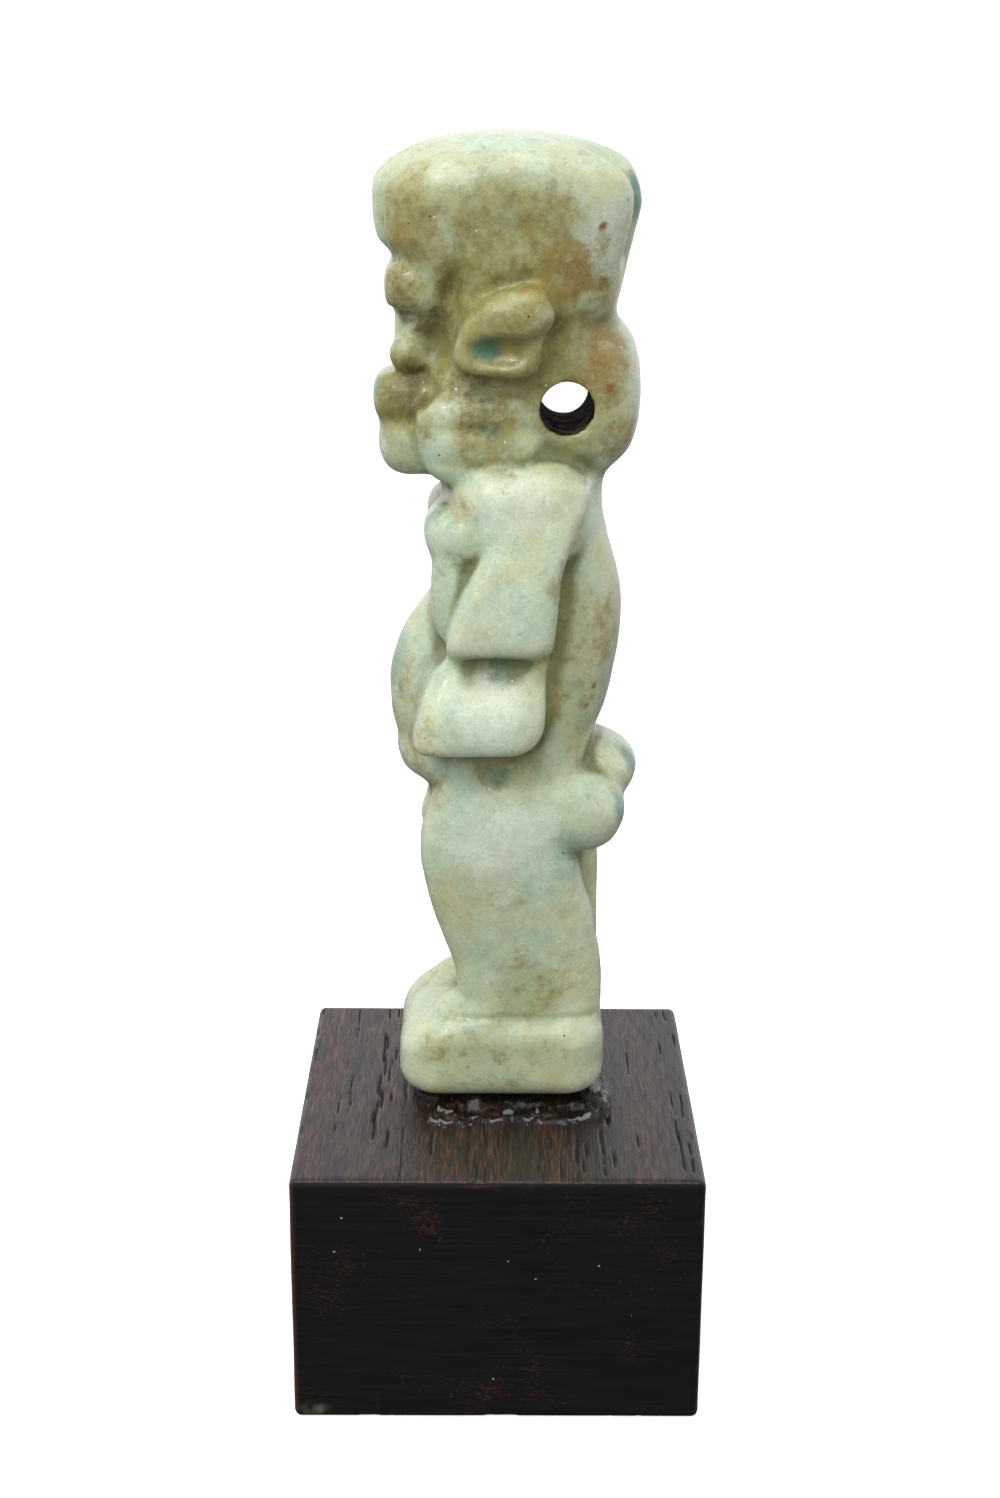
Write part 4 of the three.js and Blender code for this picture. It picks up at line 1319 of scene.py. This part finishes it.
        # Whiteness on lip, crests and lump is painted highlight; the flakes are cloudy glue.
        lip = self.lip_glint * lip * (patch > on_lip)
        crest = eased(fold, *self.crest) * (mixed_waves(flat, self.crest_waves) > on_crests)
        return np.max([lip, flake, self.crest_glint * crest, lump * eased(fold, *self.lump_crest)], axis=0)

    def edge_reach(self, turn: Array, aim: Array) -> Array:
        """Find how far the film runs from the plinth's middle in each direction.

        Args:
            turn: Directions seen from above, as angles.
            aim: The same directions as unit steps.

        Returns:
            The reach in millimetres.
        """
        tries = np.linspace(*self.rim_search)
        ring = self.rim_ring * np.column_stack([aim, np.zeros(len(aim))])
        spread = np.interp(np.degrees(turn), *np.array(self.reach).T)
        ragged = spread * (1 + mixed_waves(ring, self.edge_waves))
        inside = self.plinth.outline(aim[:, 0, None] * tries, aim[:, 1, None] * tries) < ragged[:, None]
        return tries[np.argmin(inside, axis=1)]

    def faces(self) -> list[list[int]]:
        """List the film's faces: rings, rim, underside and middle.

        Returns:
            Corner numbers of each face.
        """
        n, last = self.spokes, self.rings - 1
        under, crown, base = self.rings * n, self.rings * n + n, self.rings * n + n + 1
        faces = []
        for i in range(n):
            j = (i + 1) % n
            faces.append([crown, i, j])
            faces += [[r * n + i, (r + 1) * n + i, (r + 1) * n + j, r * n + j] for r in range(last)]
            faces.append([last * n + i, under + i, under + j, last * n + j])
            faces.append([base, under + j, under + i])
        return faces


@dataclass(frozen=True)
class WhiteCard:
    """Matt white photo card, lit evenly."""

    colour: str = "#f6f7f8"
    fleck: float = 40.0
    glow: float = 0.65

    def material(self) -> Material:
        """Make the plain matt floor.

        Returns:
            The material.
        """
        # Matt card: an even white with no gloss.
        material, tree, place = new_material("matt_white_card")
        fleck = add_node(tree, "TexNoise", {"Vector": place, "Scale": 1 / (self.fleck * MM)})
        rough = add_node(tree, "MapRange", {"Value": fleck, "To Min": 0.85, "To Max": 1.0})
        shader = add_node(tree, "BsdfPrincipled", {
            "Base Color": linear(self.colour), "Roughness": rough,
            "Emission Color": linear("#ffffff"), "Emission Strength": self.glow})
        add_node(tree, "OutputMaterial", {"Surface": shader})
        return material


@dataclass
class Studio:
    """White floor, a large soft light overhead, weaker fills, and the camera."""

    floor_radius: float = 2500.0
    floor_sides: int = 96
    camera_at: Point = (96.354, -0.283, 61.090)
    yaw: float = -0.0034074
    pitch: float = 0.3117787
    roll: float = 0.0050655
    lens: float = 51.82
    sensor: float = 36.0
    sight: Pair = (0.005, 10.0)
    # Name, place, side and watts.
    lights: tuple[tuple[str, Point, float, float], ...] = (
        ("overhead_softbox", (30, -30, 240), 220, 0.18),
        ("key_softbox", (170, -60, 190), 160, 0.24),
        ("glint_lamp", (150, -110, 200), 22, 0.05))
    lit_point: Point = (0, 0, 30)
    sky_top: float = 0.58
    sky_back: float = 1.1
    sky_front: float = 0.68
    ground: float = 0.18

    def floor(self) -> Object:
        """Lay the floor.

        Returns:
            The floor.
        """
        turn = np.linspace(0, 2 * np.pi, self.floor_sides, endpoint=False)
        rim = np.stack([np.cos(turn), np.sin(turn), np.zeros_like(turn)], axis=1) * self.floor_radius
        faces = [list(range(self.floor_sides))]
        floor = new_piece("floor", rim, faces, {}, [WhiteCard().material()], np.zeros(1))
        floor.visible_diffuse = floor.visible_glossy = False
        return floor

    def light(self, name: str, at: Point, size: float, watts: float) -> None:
        """Hang a square soft light that looks at the figure.

        Args:
            name: The light's name.
            at: Its place in millimetres.
            size: Length of its side in millimetres.
            watts: Its power.
        """
        lamp = bpy.data.lights.new(name, "AREA")
        lamp.size, lamp.energy = size * MM, watts
        holder = bpy.data.objects.new(name, lamp)
        holder.location = Vector(at) * MM
        holder.rotation_euler = (Vector(self.lit_point) - Vector(at)).to_track_quat("-Z", "Y").to_euler()
        bpy.context.scene.collection.objects.link(holder)

    def sky(self) -> None:
        """Light the room: white behind the figure and dimmer on the camera's side."""
        world = bpy.data.worlds.new("white_room")
        world.use_nodes = True
        tree = world.node_tree
        tree.nodes.clear()
        x, _, z = add_node(tree, "SeparateXYZ", {0: add_node(tree, "TexCoord").outputs["Generated"]}).outputs
        level = add_node(tree, "MapRange", {
            "Value": x, "From Min": -0.6, "From Max": 0.6, "To Min": self.sky_back, "To Max": self.sky_front})
        upper = add_node(tree, "MapRange", {"Value": z, "From Min": 0.2, "From Max": 0.9})
        lower = add_node(tree, "MapRange", {"Value": z, "From Min": -0.05, "From Max": -0.35})
        for share, strength in ((upper, self.sky_top), (lower, self.ground)):
            level = add_node(tree, "Mix", {0: share, 2: level, 3: strength}, data_type="FLOAT")
        back = add_node(tree, "Background", {"Color": linear("#ffffff"), "Strength": level})
        add_node(tree, "OutputWorld", {"Surface": back})
        bpy.context.scene.world = world

    def camera(self) -> None:
        """Set the camera at the photo's viewing angle."""
        ahead = Vector((-cos(self.yaw) * cos(self.pitch), -sin(self.yaw) * cos(self.pitch), -sin(self.pitch)))
        right = Vector((-sin(self.yaw), cos(self.yaw), 0))
        up = right.cross(ahead)
        right, up = cos(self.roll) * right + sin(self.roll) * up, cos(self.roll) * up - sin(self.roll) * right
        lens = bpy.data.cameras.new("photo_camera")
        lens.lens, lens.sensor_width, lens.sensor_fit = self.lens, self.sensor, "AUTO"
        lens.clip_start, lens.clip_end = self.sight
        camera = bpy.data.objects.new("photo_camera", lens)
        turned = Matrix((right, up, -ahead)).transposed().to_4x4()
        camera.matrix_world = Matrix.Translation(Vector(self.camera_at) * MM) @ turned
        bpy.context.scene.collection.objects.link(camera)
        bpy.context.scene.camera = camera

    def build(self) -> None:
        """Set up floor, lights, room and camera."""
        self.floor()
        for row in self.lights:
            self.light(*row)
        self.sky()
        self.camera()
        bpy.context.scene.view_settings.view_transform = "Standard"


def main() -> None:
    """Build the studio and the pieces, and report each one."""
    logging.basicConfig(level=logging.INFO, format="%(message)s")
    Studio().build()
    makers = {"amulet": (Amulet(), "faience"), "wood_block": (WoodBlock(), "wood"), "glue": (GlueFilm(), "glue")}
    for node, (maker, slot) in makers.items():
        piece = maker.build()
        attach(piece, "root")
        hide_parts(node)
        LOG.info("%s stands for %s with %d faces", piece.name, node, len(piece.data.polygons))


if __name__ == "__main__":
    main()
